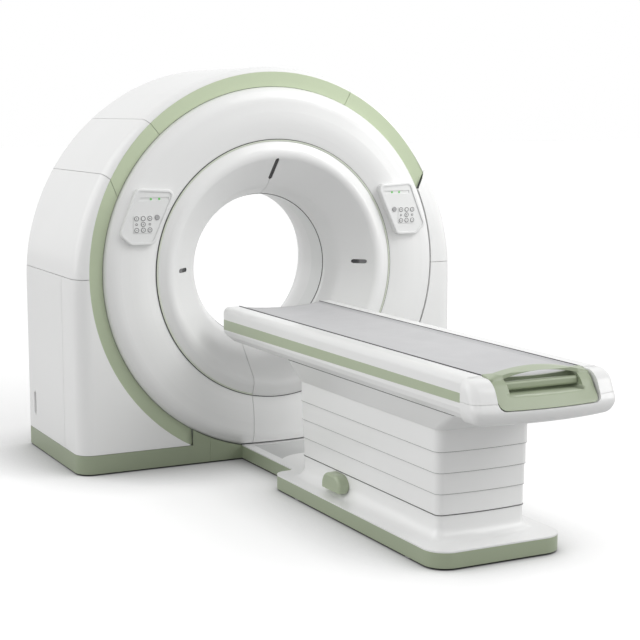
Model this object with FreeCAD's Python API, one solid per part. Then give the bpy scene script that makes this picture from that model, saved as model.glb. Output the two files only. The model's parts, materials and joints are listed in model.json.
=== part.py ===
import FreeCAD, Part
import math
import os

# CT scanner: a ring-shaped gantry on a plinth, and a height-adjusting table docked to its front.
# Millimetres, Z up. The gantry faces -Y, the table stands in front of it, the bore runs along Y.
# The origin is on the floor, in the middle of the whole scanner.

# ---- driving dimensions: gantry, outwards from the bore ----
BORE_R = 350.0
FUNNEL_WIDTH = 264.0
RING_WIDTH = 242.0
BAND_WIDTH = 70.0
CROWN_MARGIN = 24.0
SIDE_FLARE = 40.0
CROWN_TURN = 60.0
RING_CLEAR = 51.0
GANTRY_DEPTH = 820.0
FRONT_EDGE_R = 75.0
REAR_EDGE_R = 40.0
COVER_T = 5.0
SEAM = 2.0
BAND_DEPTH = 22.0
BAND_SLOPE = 7.0
BAND_TIP_INSET = 6.3
LIP_T = 5.0
LIP_DEPTH = 45.0
PLINTH_BOTTOM = 8.0
PLINTH_TOP = 94.0
PLINTH_WALL = 6.0
PLINTH_GROOVE = 86.0
COVER_LIFT = 1.5
SIDE_SEAM_DEPTH = 220.0
MID_SEAM_DROP = 7.0
REAR_LAP = 30.0
# degrees round the bore where the covers meet
CROWN_SEAM_RIGHT = 64.0
CROWN_SEAM_LEFT = 132.0
SHOULDER_TURN = (24.53, 28.39)
SHOULDER_RISE = (54.0, 48.0)
DOCK_HALF_WIDTH = 135.0
DOCK_BOTTOM = 78.0
GRIP_BACK = 130.0
GRIP_Z = (165.0, 285.0)
GRIP_R = 17.0
GRIP_CUP_DEPTH = 28.0
GRIP_CUP_T = 3.0

# ---- driving dimensions: bore lining ----
RING_SKIN_T = 5.0
RING_BULGE = 30.0
# corners of the ring's and funnels' sections: (way along the radius, depth, rounding)
RING_INNER = (0.0, 20.0, 0.0)
RING_RISE = (86.0, -1.0, 300.0)
RING_FALL = (-41.0, 3.0, 90.0)
RING_RIM = (0.0, 3.0, 30.0)
FUNNEL_T = 4.0
FUNNEL_CROWN = 30.0
FUNNEL_DEPTH = 200.0
FUNNEL_MOUTH = (0.0, 18.0, 0.0)
FUNNEL_CREST = (-63.0, -10.0, 45.0)
FUNNEL_THROAT = (34.0, 109.0, 120.0)
FUNNEL_END = (0.0, -20.0, 60.0)
FUNNEL_RIM = (-12.0, 10.0)
TRIM_T = 7.0
TRIM_GAP = 3.0
TRIM_DEPTH = (-15.0, 4.0)
WINDOW_RING_T = 3.0
WINDOW_RING_LENGTH = 125.0
REAR_THROAT = (0.0, -65.0, 350.0)
REAR_KNEE = (80.0, 130.0, 300.0)
REAR_FLARE = 254.0
REAR_FLANGE_LAP = 36.0
REAR_OPENING_GAP = 2.0
SLOT_WIDTH = 20.0
# each slot's two ends, outwards from the bore
SLOT_TOP = (74.0, 174.0)
SLOT_SIDE = (85.0, 145.0)
SLOT_SIDE_RISE = 12.0
SLOT_MARGIN = 8.0
LASER_WINDOW_T = 3.0
FUNNEL_JOINT = 1.6

# ---- driving dimensions: control panels ----
# the right panel's middle, outwards from the funnel and round from level; the rest is laid out from it
PANEL_OUT = 98.0
PANEL_TURN = 22.46
PANEL_CORNERS = [(-139.0, 119.0), (54.0, 129.0), (139.0, -84.0), (84.0, -129.0), (-26.0, -129.0)]
PANEL_CORNER_R = 30.0
PANEL_PROUD = 20.0
PANEL_EDGE_R = 7.0
PANEL_RIM = 13.0
FASCIA_DEPTH = 4.0
KEYPAD_T = 2.0
KEYPAD_MARGIN = 4.0
KEYPAD_CORNER_R = 8.0
KEY_AT = (27.0, -33.0)
KEY_STEP_X = 31.5
KEY_STEP_Z = 26.0
KEY_R = 11.0
SMALL_KEY_R = 5.5
KEY_PROUD = 2.0
STOP_AT = (-41.0, -4.0)
STOP_R = 12.0
STOP_PROUD = 4.0
STOP_STEM = 16.0
STOP_FIT = 0.3
STOP_CHAMFER = 1.2
LIGHT_X = (-53.0, -13.0)
LIGHT_RISE = 79.0
LIGHT_R = 5.0
LIGHT_PROUD = 2.0
GROOVE_X = (-98.0, 42.0)
GROOVE_HALF_HEIGHT = 7.0
GROOVE_DEPTH = 3.0

# ---- driving dimensions: gantry structure ----
FRAME_BOTTOM = 20.0
FRAME_TOP = 85.0
FRAME_RAIL = 80.0
FRAME_BEAM = 100.0
FOOT_R = 35.0
FOOT_PAD = 12.0
FOOT_EDGE = 3.0
FOOT_STEM_R = 11.0
ANCHOR_R = 9.0
GANTRY_ANCHOR_FROM_END = 160.0
GANTRY_FOOT_FROM_END = 240.0
HOOP_T = 8.0
HOOP_WIDTH = 40.0
FRONT_RING_LAP = 21.0
FRONT_RING_WIDTH = 70.0
FRONT_RING_T = 6.0
INNER_RING_WIDTH = 45.0
INNER_RING_DEPTH = 10.0
SPOKE_WIDTH = 30.0
SPOKES = 6
ARM_TURNS = (10.0, 60.0, 120.0, 170.0)
ARM_T = 12.0
STAND_GAP = 155.0
STAND_T = 25.0
STAND_WIDTH = (105.0, 350.0)
STAND_FOOT_HALF = 540.0
STAND_GUSSET_IN = 30.0
STAND_HOLES = 10
STAND_HOLE_R = 45.0
BEARING_IN = 75.0
INNER_RACE_T = 45.0
OUTER_RACE_T = 75.0
BEARING_FIT = 0.05
BEARING_LENGTH = 75.0
BEARING_FLANGE = 20.0
BEARING_FLANGE_T = 12.0
INNER_RACE_SET_IN = 5.0
INNER_RACE_LENGTH = 60.0
DRUM_GAP = 32.5
DRUM_T = 25.0
DRUM_IN = 42.0
DRUM_CLEAR = 76.0
DRUM_RIM_T = 12.0
DRUM_RIM_DEPTH = 90.0
SLIP_RING_OUT = 270.0
SLIP_RING_WIDTH = 40.0
SLIP_RING_DEPTH = 18.0
SLIP_TRACKS = 3
SLIP_TRACK_DEPTH = 4.0
TUBE_R = 115.0
TUBE_OUT = 240.0
TUBE_LENGTH = 210.0
TUBE_EDGE_R = 18.0
COLLIMATOR_HALF = 80.0
COLLIMATOR_DEPTH = 90.0
COLLIMATOR_WALL = 15.0
COLLIMATOR_OUT = 74.0
SLIT_DEPTH = 40.0
SLIT_HEIGHT = 40.0
FOCUS_OUT = 190.0
DETECTOR_OUT = 80.0
DETECTOR_T = 85.0
DETECTOR_FAN = 27.0
DETECTOR_LENGTH = 150.0
DETECTOR_MODULES = 15
MODULE_GROOVE = (4.0, 20.0)
MODULE_LENGTH = 60.0
BOX_LENGTH = 190.0
# each box: near and far side outwards from the bore, bottom and top from the bore axis
GENERATOR = (120.0, 365.0, -150.0, 200.0)
GENERATOR_EDGE_R = 12.0
EXCHANGER = (120.0, 350.0, -150.0, 160.0)
EXCHANGER_FINS = 9
EXCHANGER_RIM = 20.0
EXCHANGER_FIN_DEPTH = 60.0

# ---- driving dimensions: table ----
TABLE_GAP = 36.0
TABLE_LENGTH = 2209.0
TABLE_HALF_WIDTH = 290.0
TABLE_BELOW_AXIS = 162.0
TABLE_DEPTH = 153.0
TABLE_EDGE_R = 28.0
# the lower flank's corners, from the side face and from the underside
TABLE_FLANK = [(-24.0, 0.0), (-6.0, 22.0)]
HEAD_SLOPE = 75.0
CHANNEL_GAP = 8.0
CHANNEL_DEPTH = 109.0
CHANNEL_CORNER_R = 28.0
CHANNEL_FLOOR_T = 36.0
STRIPE_DOWN = 105.0
STRIPE_LEDGE = 6.0
STRIPE_HEAD = 47.0
STRIPE_FOOT = 34.0
STRIPE_T = 3.0
STRIPE_INLAY = 2.5
CAP_LENGTH = 138.0
CAP_PROUD = 14.0
CAP_SEAM_DOWN = 83.0
CAP_SEAM_DEPTH = 2.0
NOSE_BOW_R = 1100.0
NOSE_CORNER_R = 42.0
NOSE_LEAST_CORNER_R = 30.0
# height from the table's top, then how far the nose's side and its front stand back there
NOSE_LOW = [(-165.0, 42.0, 50.0), (-159.0, 28.0, 33.0), (-149.0, 15.0, 18.0), (-134.0, 6.0, 7.0)]
CAP_HIGH = [(-111.0, 0.0, 0.0), (-83.0, 0.0, 10.0), (-55.0, 0.0, 22.0), (-33.0, 2.0, 34.0)]
CAP_HIGH += [(-17.0, 8.0, 50.0), (-5.0, 21.0, 78.0), (3.0, 44.0, 120.0)]
HANDLE_HIGH = [(-111.0, 0.0, 0.0), (-99.0, 0.0, 6.0), (-83.0, 0.0, 18.0), (-55.0, 0.0, 38.0)]
HANDLE_HIGH += [(-33.0, 2.0, 52.0), (-17.0, 8.0, 68.0), (-5.0, 21.0, 90.0), (3.0, 44.0, 125.0)]

# ---- driving dimensions: cradle, handle and lever ----
CRADLE_HALF_WIDTH = 208.0
CRADLE_DOWN = 3.0
CRADLE_DIP = 14.0
CRADLE_T = 70.0
PAD_T = 8.0
RUNNER_X = 130.0
RUNNER_WIDTH = 30.0
SLIDE_GAP = 0.3
HANDLE_LENGTH = 150.0
HANDLE_SETBACK = 3.0
HANDLE_LIFT = 2.5
HANDLE_CORNER_R = 25.0
HANDLE_RISE = 25.0
ARCH_SHOULDER = 6.0
ARCH_DEPTH = 56.0
ARCH_SLOPE = 12.0
ARCH_FLAT = 10.0
POCKET_HALF = 155.0
POCKET_DEPTH = 60.0
POCKET_WALL = 14.0
GRIP_BAND = 11.0
WINDOW_HALF = 132.0
LEVER_DEPTH = 26.0
LEVER_HEIGHT = 30.0
LEVER_EDGE_R = 10.0
LEVER_DOWN = 17.0
LEVER_SETBACK = 50.0
LEVER_PIN_R = 4.0
LEVER_PIN_COVER = 1.0
LEVER_PIN_LENGTH = 10.0
LEVER_END_GAP = 2.0
LEVER_FIT = 0.3

# ---- driving dimensions: pedestal, back from the gantry's front, and base ----
SADDLE_HEIGHT = 97.0
SADDLE_T = 4.0
SADDLE_TOP_T = 8.0
SADDLE_TOP_HALF = 265.0
SADDLE_REACH = 215.0
SADDLE_TOP_REAR = 10.0
PEDESTAL_HALF = 212.0
PEDESTAL_REAR = 650.0
PEDESTAL_OVERHANG = 420.0
PEDESTAL_CORNER_R = 45.0
PEDESTAL_BOW = 14.0
SECTION_T = 3.0
SECTION_GAP = 0.8
SECTION_LAP = 22.0
SECTION_SPARE = 7.0
SKIRT_TOP = 164.0
SKIRT_T = 4.0
SKIRT_STEP = 1.0
SKIRT_FILLET = 45.0
SKIRT_SWEEP_GAP = 0.5
TABLE_PLINTH_TOP = 66.0
BASE_PLATE_T = 6.0
BASE_MARGIN = 78.0
BASE_REAR_MARGIN = 87.0
BASE_FRONT_MARGIN = 115.0
BASE_FRONT_R = 90.0
BASE_REAR_R = 60.0
BRIDGE_MARGIN = 105.0
BRIDGE_GAP = 4.0
BRIDGE_INNER_R = 25.0
INSERT_MARGIN = 45.0
INSERT_CORNER = 350.0
INSERT_APEX = 285.0
INSERT_SETBACK = 8.0
INSERT_GAP = 0.5
INSERT_T = 3.0
INSERT_DEPTH = 4.0
TABLE_FRAME_TOP = 40.0
TABLE_RAIL = 70.0
TABLE_RAIL_TOP = 62.0
TABLE_ANCHOR_R = 7.0
TABLE_ANCHOR_FROM_END = 140.0
TABLE_FOOT_FROM_END = 220.0
PEDAL_Y = 1022.0
PEDAL_HALF = 82.0
PEDAL_BOTTOM = 92.0
PEDAL_HEIGHT = 68.0
PEDAL_REACH = 48.0
PEDAL_CORNER_R = 55.0
PEDAL_EDGE_R = 14.0
PEDAL_BACK_GAP = 0.3
PEDAL_STEM_R = 12.0
PEDAL_STEM_GAP = 1.0
PEDAL_STEM_LENGTH = 60.0
PEDAL_TRAVEL = 8.0
COLUMN_FROM_END = (280.0, 275.0)
COLUMN_HALF = 90.0
COLUMN_WALL = 6.0
COLUMN_GAP = 0.5
# drops from the table's underside to the ends of the lift tubes
COLUMN_FIXED_DROP = 293.0
COLUMN_MIDDLE_DROPS = (392.0, 153.0)
COLUMN_INNER_DROP = 237.0

# ---- places worked out from the driving dimensions ----
RING_IN_R = BORE_R + FUNNEL_WIDTH
RING_OUT_R = RING_IN_R + RING_WIDTH
BAND_OUT_R = RING_OUT_R + BAND_WIDTH
CROWN_R = BAND_OUT_R + CROWN_MARGIN
GANTRY_HALF_WIDTH = CROWN_R + SIDE_FLARE
BORE_Z = RING_OUT_R + RING_CLEAR
MID_SEAM_Z = BORE_Z - MID_SEAM_DROP
BAND_TIP_X = math.sqrt(BAND_OUT_R ** 2 - (BORE_Z - PLINTH_TOP) ** 2) - BAND_TIP_INSET
BAND_BACK = BAND_DEPTH + COVER_T
MOUTH_R = RING_IN_R - TRIM_GAP - TRIM_T
REAR_FLANGE_R = BORE_R + REAR_FLARE
BEARING_IN_R = BORE_R + BEARING_IN
BEARING_R = BEARING_IN_R + INNER_RACE_T
BEARING_OUT_R = BEARING_R + OUTER_RACE_T
STAND_R = (BORE_R + STAND_WIDTH[0], BORE_R + STAND_WIDTH[1])
DRUM_R = RING_OUT_R - DRUM_CLEAR
SCAN_DEPTH = FUNNEL_DEPTH + WINDOW_RING_LENGTH / 2
DRUM_FROM = SCAN_DEPTH + COLLIMATOR_DEPTH / 2 + DRUM_GAP
STAND_FROM = DRUM_FROM + DRUM_T + STAND_GAP
FRONT_RING_R = (RING_OUT_R - FRONT_RING_LAP, RING_OUT_R - FRONT_RING_LAP + FRONT_RING_WIDTH)
FOCUS_R = BORE_R + FOCUS_OUT
DETECTOR_REACH = FOCUS_R + BORE_R + DETECTOR_OUT
REAR = (GANTRY_DEPTH + TABLE_GAP + TABLE_LENGTH) / 2
FRONT = REAR - GANTRY_DEPTH
TABLE_HEAD = FRONT - TABLE_GAP
TABLE_FOOT = TABLE_HEAD - TABLE_LENGTH
TABLE_TOP = BORE_Z - TABLE_BELOW_AXIS
TABLE_UNDER = TABLE_TOP - TABLE_DEPTH
CHANNEL_FLOOR = TABLE_TOP - CHANNEL_DEPTH
CHANNEL_HALF = CRADLE_HALF_WIDTH + CHANNEL_GAP
STRIPE_BOTTOM = TABLE_TOP - STRIPE_DOWN
CAP_FROM = TABLE_FOOT + CAP_LENGTH
CRADLE_EDGE = TABLE_TOP - CRADLE_DOWN
CRADLE_UNDER = CRADLE_EDGE - CRADLE_T
HANDLE_REAR = TABLE_FOOT + HANDLE_LENGTH
HANDLE_LOW = CHANNEL_FLOOR + HANDLE_LIFT
POCKET_FLOOR = CRADLE_EDGE - POCKET_DEPTH
LEVER_TOP = CRADLE_EDGE - LEVER_DOWN
SADDLE_UNDER = TABLE_UNDER - SADDLE_HEIGHT
PEDESTAL_FRONT = TABLE_GAP + TABLE_LENGTH - PEDESTAL_OVERHANG
SECTION_STEP = (SADDLE_UNDER - SECTION_SPARE - SKIRT_TOP) / 4
BASE_TOP = TABLE_PLINTH_TOP + BASE_PLATE_T
BASE_HALF = PEDESTAL_HALF + BASE_MARGIN
BRIDGE_HALF = BASE_HALF - BRIDGE_MARGIN
BASE_REAR = PEDESTAL_REAR - BASE_REAR_MARGIN
BASE_FRONT = PEDESTAL_FRONT + BASE_FRONT_MARGIN
FAR = 2 * GANTRY_HALF_WIDTH
# how far a cutting shape runs past what it cuts
OVER = 5.0
BEYOND = 50.0
TINY = 1e-6
V = FreeCAD.Vector


# ---- small helpers ----
def box(x0, x1, y0, y1, z0, z1):
    return Part.makeBox(x1 - x0, y1 - y0, z1 - z0, V(x0, y0, z0))


def rod_y(radius, y0, y1, x=0.0, z=BORE_Z):
    return Part.makeCylinder(radius, y1 - y0, V(x, y0, z), V(0, 1, 0))


def tube_y(outer, inner, y0, y1, x=0.0, z=BORE_Z):
    return rod_y(outer, y0, y1, x, z).cut(rod_y(inner, y0, y1, x, z))


def rod_x(radius, x0, x1, y, z):
    return Part.makeCylinder(radius, x1 - x0, V(x0, y, z), V(1, 0, 0))


def rod_z(radius, z0, z1, x, y):
    return Part.makeCylinder(radius, z1 - z0, V(x, y, z0), V(0, 0, 1))


def prism_y(points, y0, y1):
    wire = Part.makePolygon([V(x, y0, z) for x, z in points + points[:1]])
    return Part.Face(wire).extrude(V(0, y1 - y0, 0))


def prism_x(points, x0, x1):
    wire = Part.makePolygon([V(x0, y, z) for y, z in points + points[:1]])
    return Part.Face(wire).extrude(V(x1 - x0, 0, 0))


def mirror_x(shape):
    return shape.mirror(V(0, 0, 0), V(1, 0, 0))


def polar(radius, degrees):
    turn = math.radians(degrees)
    return radius * math.cos(turn), BORE_Z + radius * math.sin(turn)


def upright_edges(shape, low, high):
    def is_upright(bounds):
        return max(bounds.XLength, bounds.YLength) < TINY and bounds.ZMin < low and bounds.ZMax > high
    return [edge for edge in shape.Edges if is_upright(edge.BoundBox)]


def edges_at_y(shape, y):
    return [edge for edge in shape.Edges if max(abs(edge.BoundBox.YMin - y), edge.BoundBox.YLength) < TINY]


def edges_at_z(shape, z):
    return [edge for edge in shape.Edges if max(abs(edge.BoundBox.ZMin - z), edge.BoundBox.ZLength) < TINY]


def one_solid(shape):
    return shape.removeSplitter().Solids[0]


# ---- thin skins turned about the bore ----
# a section is a list of corners (radius from the bore axis, depth behind the front, rounding)
def shifted_corners(corners, shift):
    steps = [unit(a, b) for a, b in zip(corners[:-1], corners[1:])]
    steps = steps[:1] + steps + steps[-1:]
    moved = []
    for corner, before, after in zip(corners, steps[:-1], steps[1:]):
        scale = shift / (1 + before[0] * after[0] + before[1] * after[1])
        r = corner[0] - (before[1] + after[1]) * scale
        depth = corner[1] + (before[0] + after[0]) * scale
        bends_left = before[0] * after[1] - before[1] * after[0] > 0
        moved.append((r, depth, corner[2] - shift if bends_left else corner[2] + shift))
    return moved


def unit(a, b):
    length = math.hypot(b[0] - a[0], b[1] - a[1])
    return (b[0] - a[0]) / length, (b[1] - a[1]) / length


def section_point(r, depth):
    return V(r, FRONT + depth, 0)


def section_edges(corners):
    edges = []
    last = section_point(*corners[0][:2])
    for here, corner, there in zip(corners[:-2], corners[1:-1], corners[2:]):
        r, depth, radius = corner
        before, after = unit(here, corner), unit(corner, there)
        half_turn = math.acos(before[0] * after[0] + before[1] * after[1]) / 2
        run = radius * math.tan(half_turn)
        inward = unit(before, after)
        rise = radius / math.cos(half_turn) - radius
        start = section_point(r - before[0] * run, depth - before[1] * run)
        middle = section_point(r + inward[0] * rise, depth + inward[1] * rise)
        end = section_point(r + after[0] * run, depth + after[1] * run)
        edges += [Part.makeLine(last, start), Part.Arc(start, middle, end).toShape()]
        last = end
    edges.append(Part.makeLine(last, section_point(*corners[-1][:2])))
    return edges


def turned(edges):
    face = Part.Face(Part.Wire(Part.__sortEdges__(edges)))
    return face.revolve(V(0, 0, 0), V(0, 1, 0), 360).translated(V(0, 0, BORE_Z))


def turned_skin(corners, near, far):
    first, second = shifted_corners(corners, near), shifted_corners(corners, far)
    edges = section_edges(first) + section_edges(second)
    for a, b in ((first[0], second[0]), (first[-1], second[-1])):
        edges.append(Part.makeLine(section_point(*a[:2]), section_point(*b[:2])))
    return turned(edges)


def placed(corner, radius, depth):
    return corner[0] + radius, corner[1] + depth, corner[2]


def ring_section():
    corners = [placed(RING_INNER, RING_IN_R, -RING_BULGE), placed(RING_RISE, RING_IN_R, -RING_BULGE)]
    corners += [placed(RING_FALL, RING_OUT_R, -RING_BULGE), placed(RING_RIM, RING_OUT_R, 0.0)]
    return corners + [(RING_OUT_R, BAND_BACK, 0.0)]


def funnel_section():
    corners = [placed(FUNNEL_MOUTH, MOUTH_R, -FUNNEL_CROWN), placed(FUNNEL_CREST, MOUTH_R, -FUNNEL_CROWN)]
    corners += [placed(FUNNEL_THROAT, BORE_R, 0.0), placed(FUNNEL_END, BORE_R, FUNNEL_DEPTH)]
    return corners + [(BORE_R, FUNNEL_DEPTH, 0.0)]


def rear_section():
    corners = [(BORE_R, FUNNEL_DEPTH + WINDOW_RING_LENGTH, 0.0)]
    corners += [placed(REAR_THROAT, BORE_R, STAND_FROM), placed(REAR_KNEE, BORE_R, STAND_FROM)]
    return corners + [(REAR_FLANGE_R, GANTRY_DEPTH - COVER_T, 0.0)]


# ---- gantry outline ----
def arch_face(inset, bottom, y):
    half = GANTRY_HALF_WIDTH - inset
    crown = CROWN_R - inset
    turn = math.radians(CROWN_TURN)
    drop = (GANTRY_HALF_WIDTH - CROWN_R) / (1 - math.cos(turn))
    side_r = crown + drop
    spring_z = BORE_Z - drop * math.sin(turn)
    centre_x = -drop * math.cos(turn)
    joint = (crown * math.cos(turn), BORE_Z + crown * math.sin(turn))
    middle = (centre_x + side_r * math.cos(turn / 2), spring_z + side_r * math.sin(turn / 2))
    right = [V(half, y, bottom), V(half, y, spring_z)]
    right += [V(middle[0], y, middle[1]), V(joint[0], y, joint[1])]
    left = [V(-p.x, p.y, p.z) for p in right]
    edges = [Part.makeLine(left[0], right[0]), Part.makeLine(right[0], right[1])]
    edges.append(Part.Arc(right[1], right[2], right[3]).toShape())
    edges.append(Part.Arc(right[3], V(0, y, BORE_Z + crown), left[3]).toShape())
    edges.append(Part.Arc(left[3], left[2], left[1]).toShape())
    edges.append(Part.makeLine(left[1], left[0]))
    return Part.Face(Part.Wire(edges))


def arch_prism(inset, bottom, y0, y1):
    return arch_face(inset, bottom, y0).extrude(V(0, y1 - y0, 0))


def gantry_body(inset, bottom):
    front = FRONT + inset
    rear = REAR - inset
    solid = arch_prism(inset, bottom, front, rear)
    front_edges = [edge for edge in edges_at_y(solid, front) if edge.BoundBox.ZMax > bottom + 1]
    solid = solid.makeFillet(FRONT_EDGE_R - inset, front_edges)
    rear_edges = [edge for edge in edges_at_y(solid, rear) if edge.BoundBox.ZMax > bottom + 1]
    return solid.makeFillet(REAR_EDGE_R - inset, rear_edges)


def seam_plates():
    plates = []
    half = SEAM / 2
    for degrees in (CROWN_SEAM_RIGHT, CROWN_SEAM_LEFT):
        plate = box(RING_OUT_R - 20, FAR, FRONT - BEYOND, REAR + BEYOND, BORE_Z - half, BORE_Z + half)
        plates.append(plate.rotate(V(0, 0, BORE_Z), V(0, 1, 0), -degrees))
    path = shoulder_path()
    for (x0, z0), (x1, z1) in zip(path[:-1], path[1:]):
        length = math.hypot(x1 - x0, z1 - z0)
        plate = box(-half, length + half, FRONT - BEYOND, REAR + BEYOND, -half, half)
        plate = plate.rotate(V(0, 0, 0), V(0, 1, 0), -math.degrees(math.atan2(z1 - z0, x1 - x0)))
        plate = plate.translate(V(x0, 0, z0))
        plates += [plate, mirror_x(plate)]
    return plates[0].multiFuse(plates[1:])


def shoulder_path():
    x0, z0 = polar(RING_OUT_R, SHOULDER_TURN[0])
    x1, z1 = polar(BAND_OUT_R, SHOULDER_TURN[1])
    x2, z2 = x1 + SHOULDER_RISE[0], z1 + SHOULDER_RISE[1]
    return [(2 * x0 - x1, 2 * z0 - z1), (x0, z0), (x1, z1), (x2, z2), (FAR, z2)]


def crown_region():
    right, left = polar(FAR, CROWN_SEAM_RIGHT), polar(FAR, CROWN_SEAM_LEFT)
    return prism_y([(0, BORE_Z), right, (0, BORE_Z + 2 * FAR), left], FRONT - BEYOND, REAR + BEYOND)


def below_shoulder():
    path = shoulder_path()
    points = [(0.0, BORE_Z)] + path + [(FAR, -FAR), (0.0, -FAR)]
    right = prism_y(points, FRONT - BEYOND, REAR + BEYOND)
    return right, mirror_x(right)


# ---- gantry covers ----
def cover_shells():
    outer = gantry_body(0.0, PLINTH_TOP + COVER_LIFT)
    inner = gantry_body(COVER_T, PLINTH_TOP - COVER_T)
    shell = outer.cut(inner)
    full = rod_y(BAND_OUT_R, FRONT - 10, FRONT + LIP_DEPTH + 60)
    lip = tube_y(BAND_OUT_R + LIP_T, BAND_OUT_R, FRONT, FRONT + LIP_DEPTH).common(outer)
    wide = shell.cut(full).fuse(lip)
    small_r = RING_OUT_R + SEAM
    lip = tube_y(small_r + LIP_T, small_r, FRONT, FRONT + LIP_DEPTH / 2).common(outer)
    narrow = shell.cut(rod_y(small_r, FRONT - 10, FRONT + LIP_DEPTH + 60)).fuse(lip)
    rear_hole = rod_y(REAR_FLANGE_R + REAR_OPENING_GAP, REAR - COVER_T - OVER, REAR + OVER)
    return wide.cut(rear_hole), narrow.cut(rear_hole)


def gantry_covers():
    wide, narrow = cover_shells()
    plates = seam_plates()
    rear_from = REAR - REAR_LAP
    ahead = box(-FAR, FAR, FRONT - BEYOND, rear_from, -BEYOND, 2 * FAR)
    behind = box(-FAR, FAR, rear_from + SEAM, REAR + BEYOND, -BEYOND, 2 * FAR)
    crown = crown_region()
    low_right, low_left = below_shoulder()
    right_half = box(0, FAR, FRONT - BEYOND, REAR + BEYOND, -BEYOND, 2 * FAR)
    left_half = box(-FAR, 0, FRONT - BEYOND, REAR + BEYOND, -BEYOND, 2 * FAR)
    above_mid = box(-FAR, FAR, FRONT - BEYOND, REAR + BEYOND, MID_SEAM_Z + SEAM / 2, 2 * FAR)
    below_mid = box(-FAR, FAR, FRONT - BEYOND, REAR + BEYOND, -BEYOND, MID_SEAM_Z - SEAM / 2)
    corner = box(-FAR, FAR, FRONT - BEYOND, FRONT + SIDE_SEAM_DEPTH - SEAM / 2, -BEYOND, 2 * FAR)
    side = box(-FAR, FAR, FRONT + SIDE_SEAM_DEPTH + SEAM / 2, rear_from, -BEYOND, 2 * FAR)
    upper = wide.cut(plates).common(ahead)
    lower_right = narrow.cut(plates).common(ahead).common(low_right)
    lower_left = upper.common(low_left)
    shoulders = upper.cut(crown).cut(low_right).cut(low_left)
    plinth_rise = box(0, BAND_TIP_X + SEAM / 2, FRONT - 10, FRONT + LIP_DEPTH, -BEYOND, BORE_Z - RING_IN_R)
    grip = side_grip_cut()
    pieces = {
        "top_cover": upper.common(crown),
        "upper_shoulder_right": shoulders.common(right_half),
        "upper_shoulder_left": shoulders.common(left_half),
        "lower_shoulder_right": lower_right.common(above_mid),
        "lower_shoulder_left": lower_left.common(above_mid),
        "corner_cover_right": lower_right.common(below_mid).common(corner).cut(plinth_rise),
        "corner_cover_left": lower_left.common(below_mid).common(corner),
        "side_cover_right": lower_right.common(below_mid).common(side).cut(mirror_x(grip)),
        "side_cover_left": lower_left.common(below_mid).common(side).cut(grip),
        "rear_cover": wide.common(behind),
    }
    cups = side_grip_cup()
    pieces["side_cover_right"] = pieces["side_cover_right"].fuse(mirror_x(cups))
    pieces["side_cover_left"] = pieces["side_cover_left"].fuse(cups)
    return pieces


# an oval pull recess low on each side cover, near the rear
def oval_x(radius, low, high, x0, x1):
    y = REAR - GRIP_BACK
    ends = rod_x(radius, x0, x1, y, low + GRIP_R).fuse(rod_x(radius, x0, x1, y, high - GRIP_R))
    return ends.fuse(box(x0, x1, y - radius, y + radius, low + GRIP_R, high - GRIP_R))


def side_grip_cut():
    return oval_x(GRIP_R, GRIP_Z[0], GRIP_Z[1], -GANTRY_HALF_WIDTH - OVER, -GANTRY_HALF_WIDTH + COVER_T + 1)


def side_grip_cup():
    inside = -GANTRY_HALF_WIDTH + COVER_T
    deep = inside + GRIP_CUP_DEPTH
    outer = oval_x(GRIP_R + GRIP_CUP_T, GRIP_Z[0], GRIP_Z[1], inside, deep)
    return outer.cut(oval_x(GRIP_R, GRIP_Z[0], GRIP_Z[1], inside, deep - GRIP_CUP_T))


def green_band():
    face_points = [(RING_OUT_R + SEAM, BAND_DEPTH), (BAND_OUT_R, BAND_DEPTH - BAND_SLOPE)]
    back = [(r, depth + COVER_T) for r, depth in reversed(face_points)]
    corners = [V(r, FRONT + depth, 0) for r, depth in face_points + back]
    profile = Part.Face(Part.makePolygon(corners + corners[:1]))
    return profile.revolve(V(0, 0, 0), V(0, 1, 0), 360).translated(V(0, 0, BORE_Z))


def green_bands():
    band = green_band().cut(seam_plates())
    crown = crown_region()
    low_right, low_left = below_shoulder()
    right_half = box(0, FAR, FRONT - BEYOND, REAR, -BEYOND, 2 * FAR)
    tip = box(-BAND_TIP_X + SEAM / 2, FAR, FRONT - BEYOND, REAR, -BEYOND, BORE_Z)
    return {
        "band_top": band.common(crown),
        "band_right": band.cut(crown).cut(low_right).common(right_half),
        "band_shoulder": band.cut(crown).cut(low_left).cut(right_half),
        "band_left": band.common(low_left).cut(tip).cut(below_plinth_top()),
    }


def below_plinth_top():
    return box(-FAR, FAR, FRONT - BEYOND, REAR + BEYOND, -FAR, PLINTH_TOP + COVER_LIFT)


# ---- plinth ----
def plinth_prism(inset, bottom, top):
    half = GANTRY_HALF_WIDTH - inset
    solid = box(-half, half, FRONT + inset, REAR - inset, bottom, top)
    corners = upright_edges(solid, bottom + 1, top - 1)
    front = [edge for edge in corners if edge.BoundBox.YMin < FRONT + inset + 1]
    solid = solid.makeFillet(FRONT_EDGE_R - inset, front)
    corners = upright_edges(solid, bottom + 1, top - 1)
    rear = [edge for edge in corners if edge.BoundBox.YMin > REAR - inset - 1]
    return solid.makeFillet(REAR_EDGE_R - inset, rear)


def plinth_wall():
    wall = plinth_prism(0.0, PLINTH_BOTTOM, PLINTH_TOP)
    return wall.cut(plinth_prism(PLINTH_WALL, PLINTH_BOTTOM - OVER, PLINTH_TOP + OVER))


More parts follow.
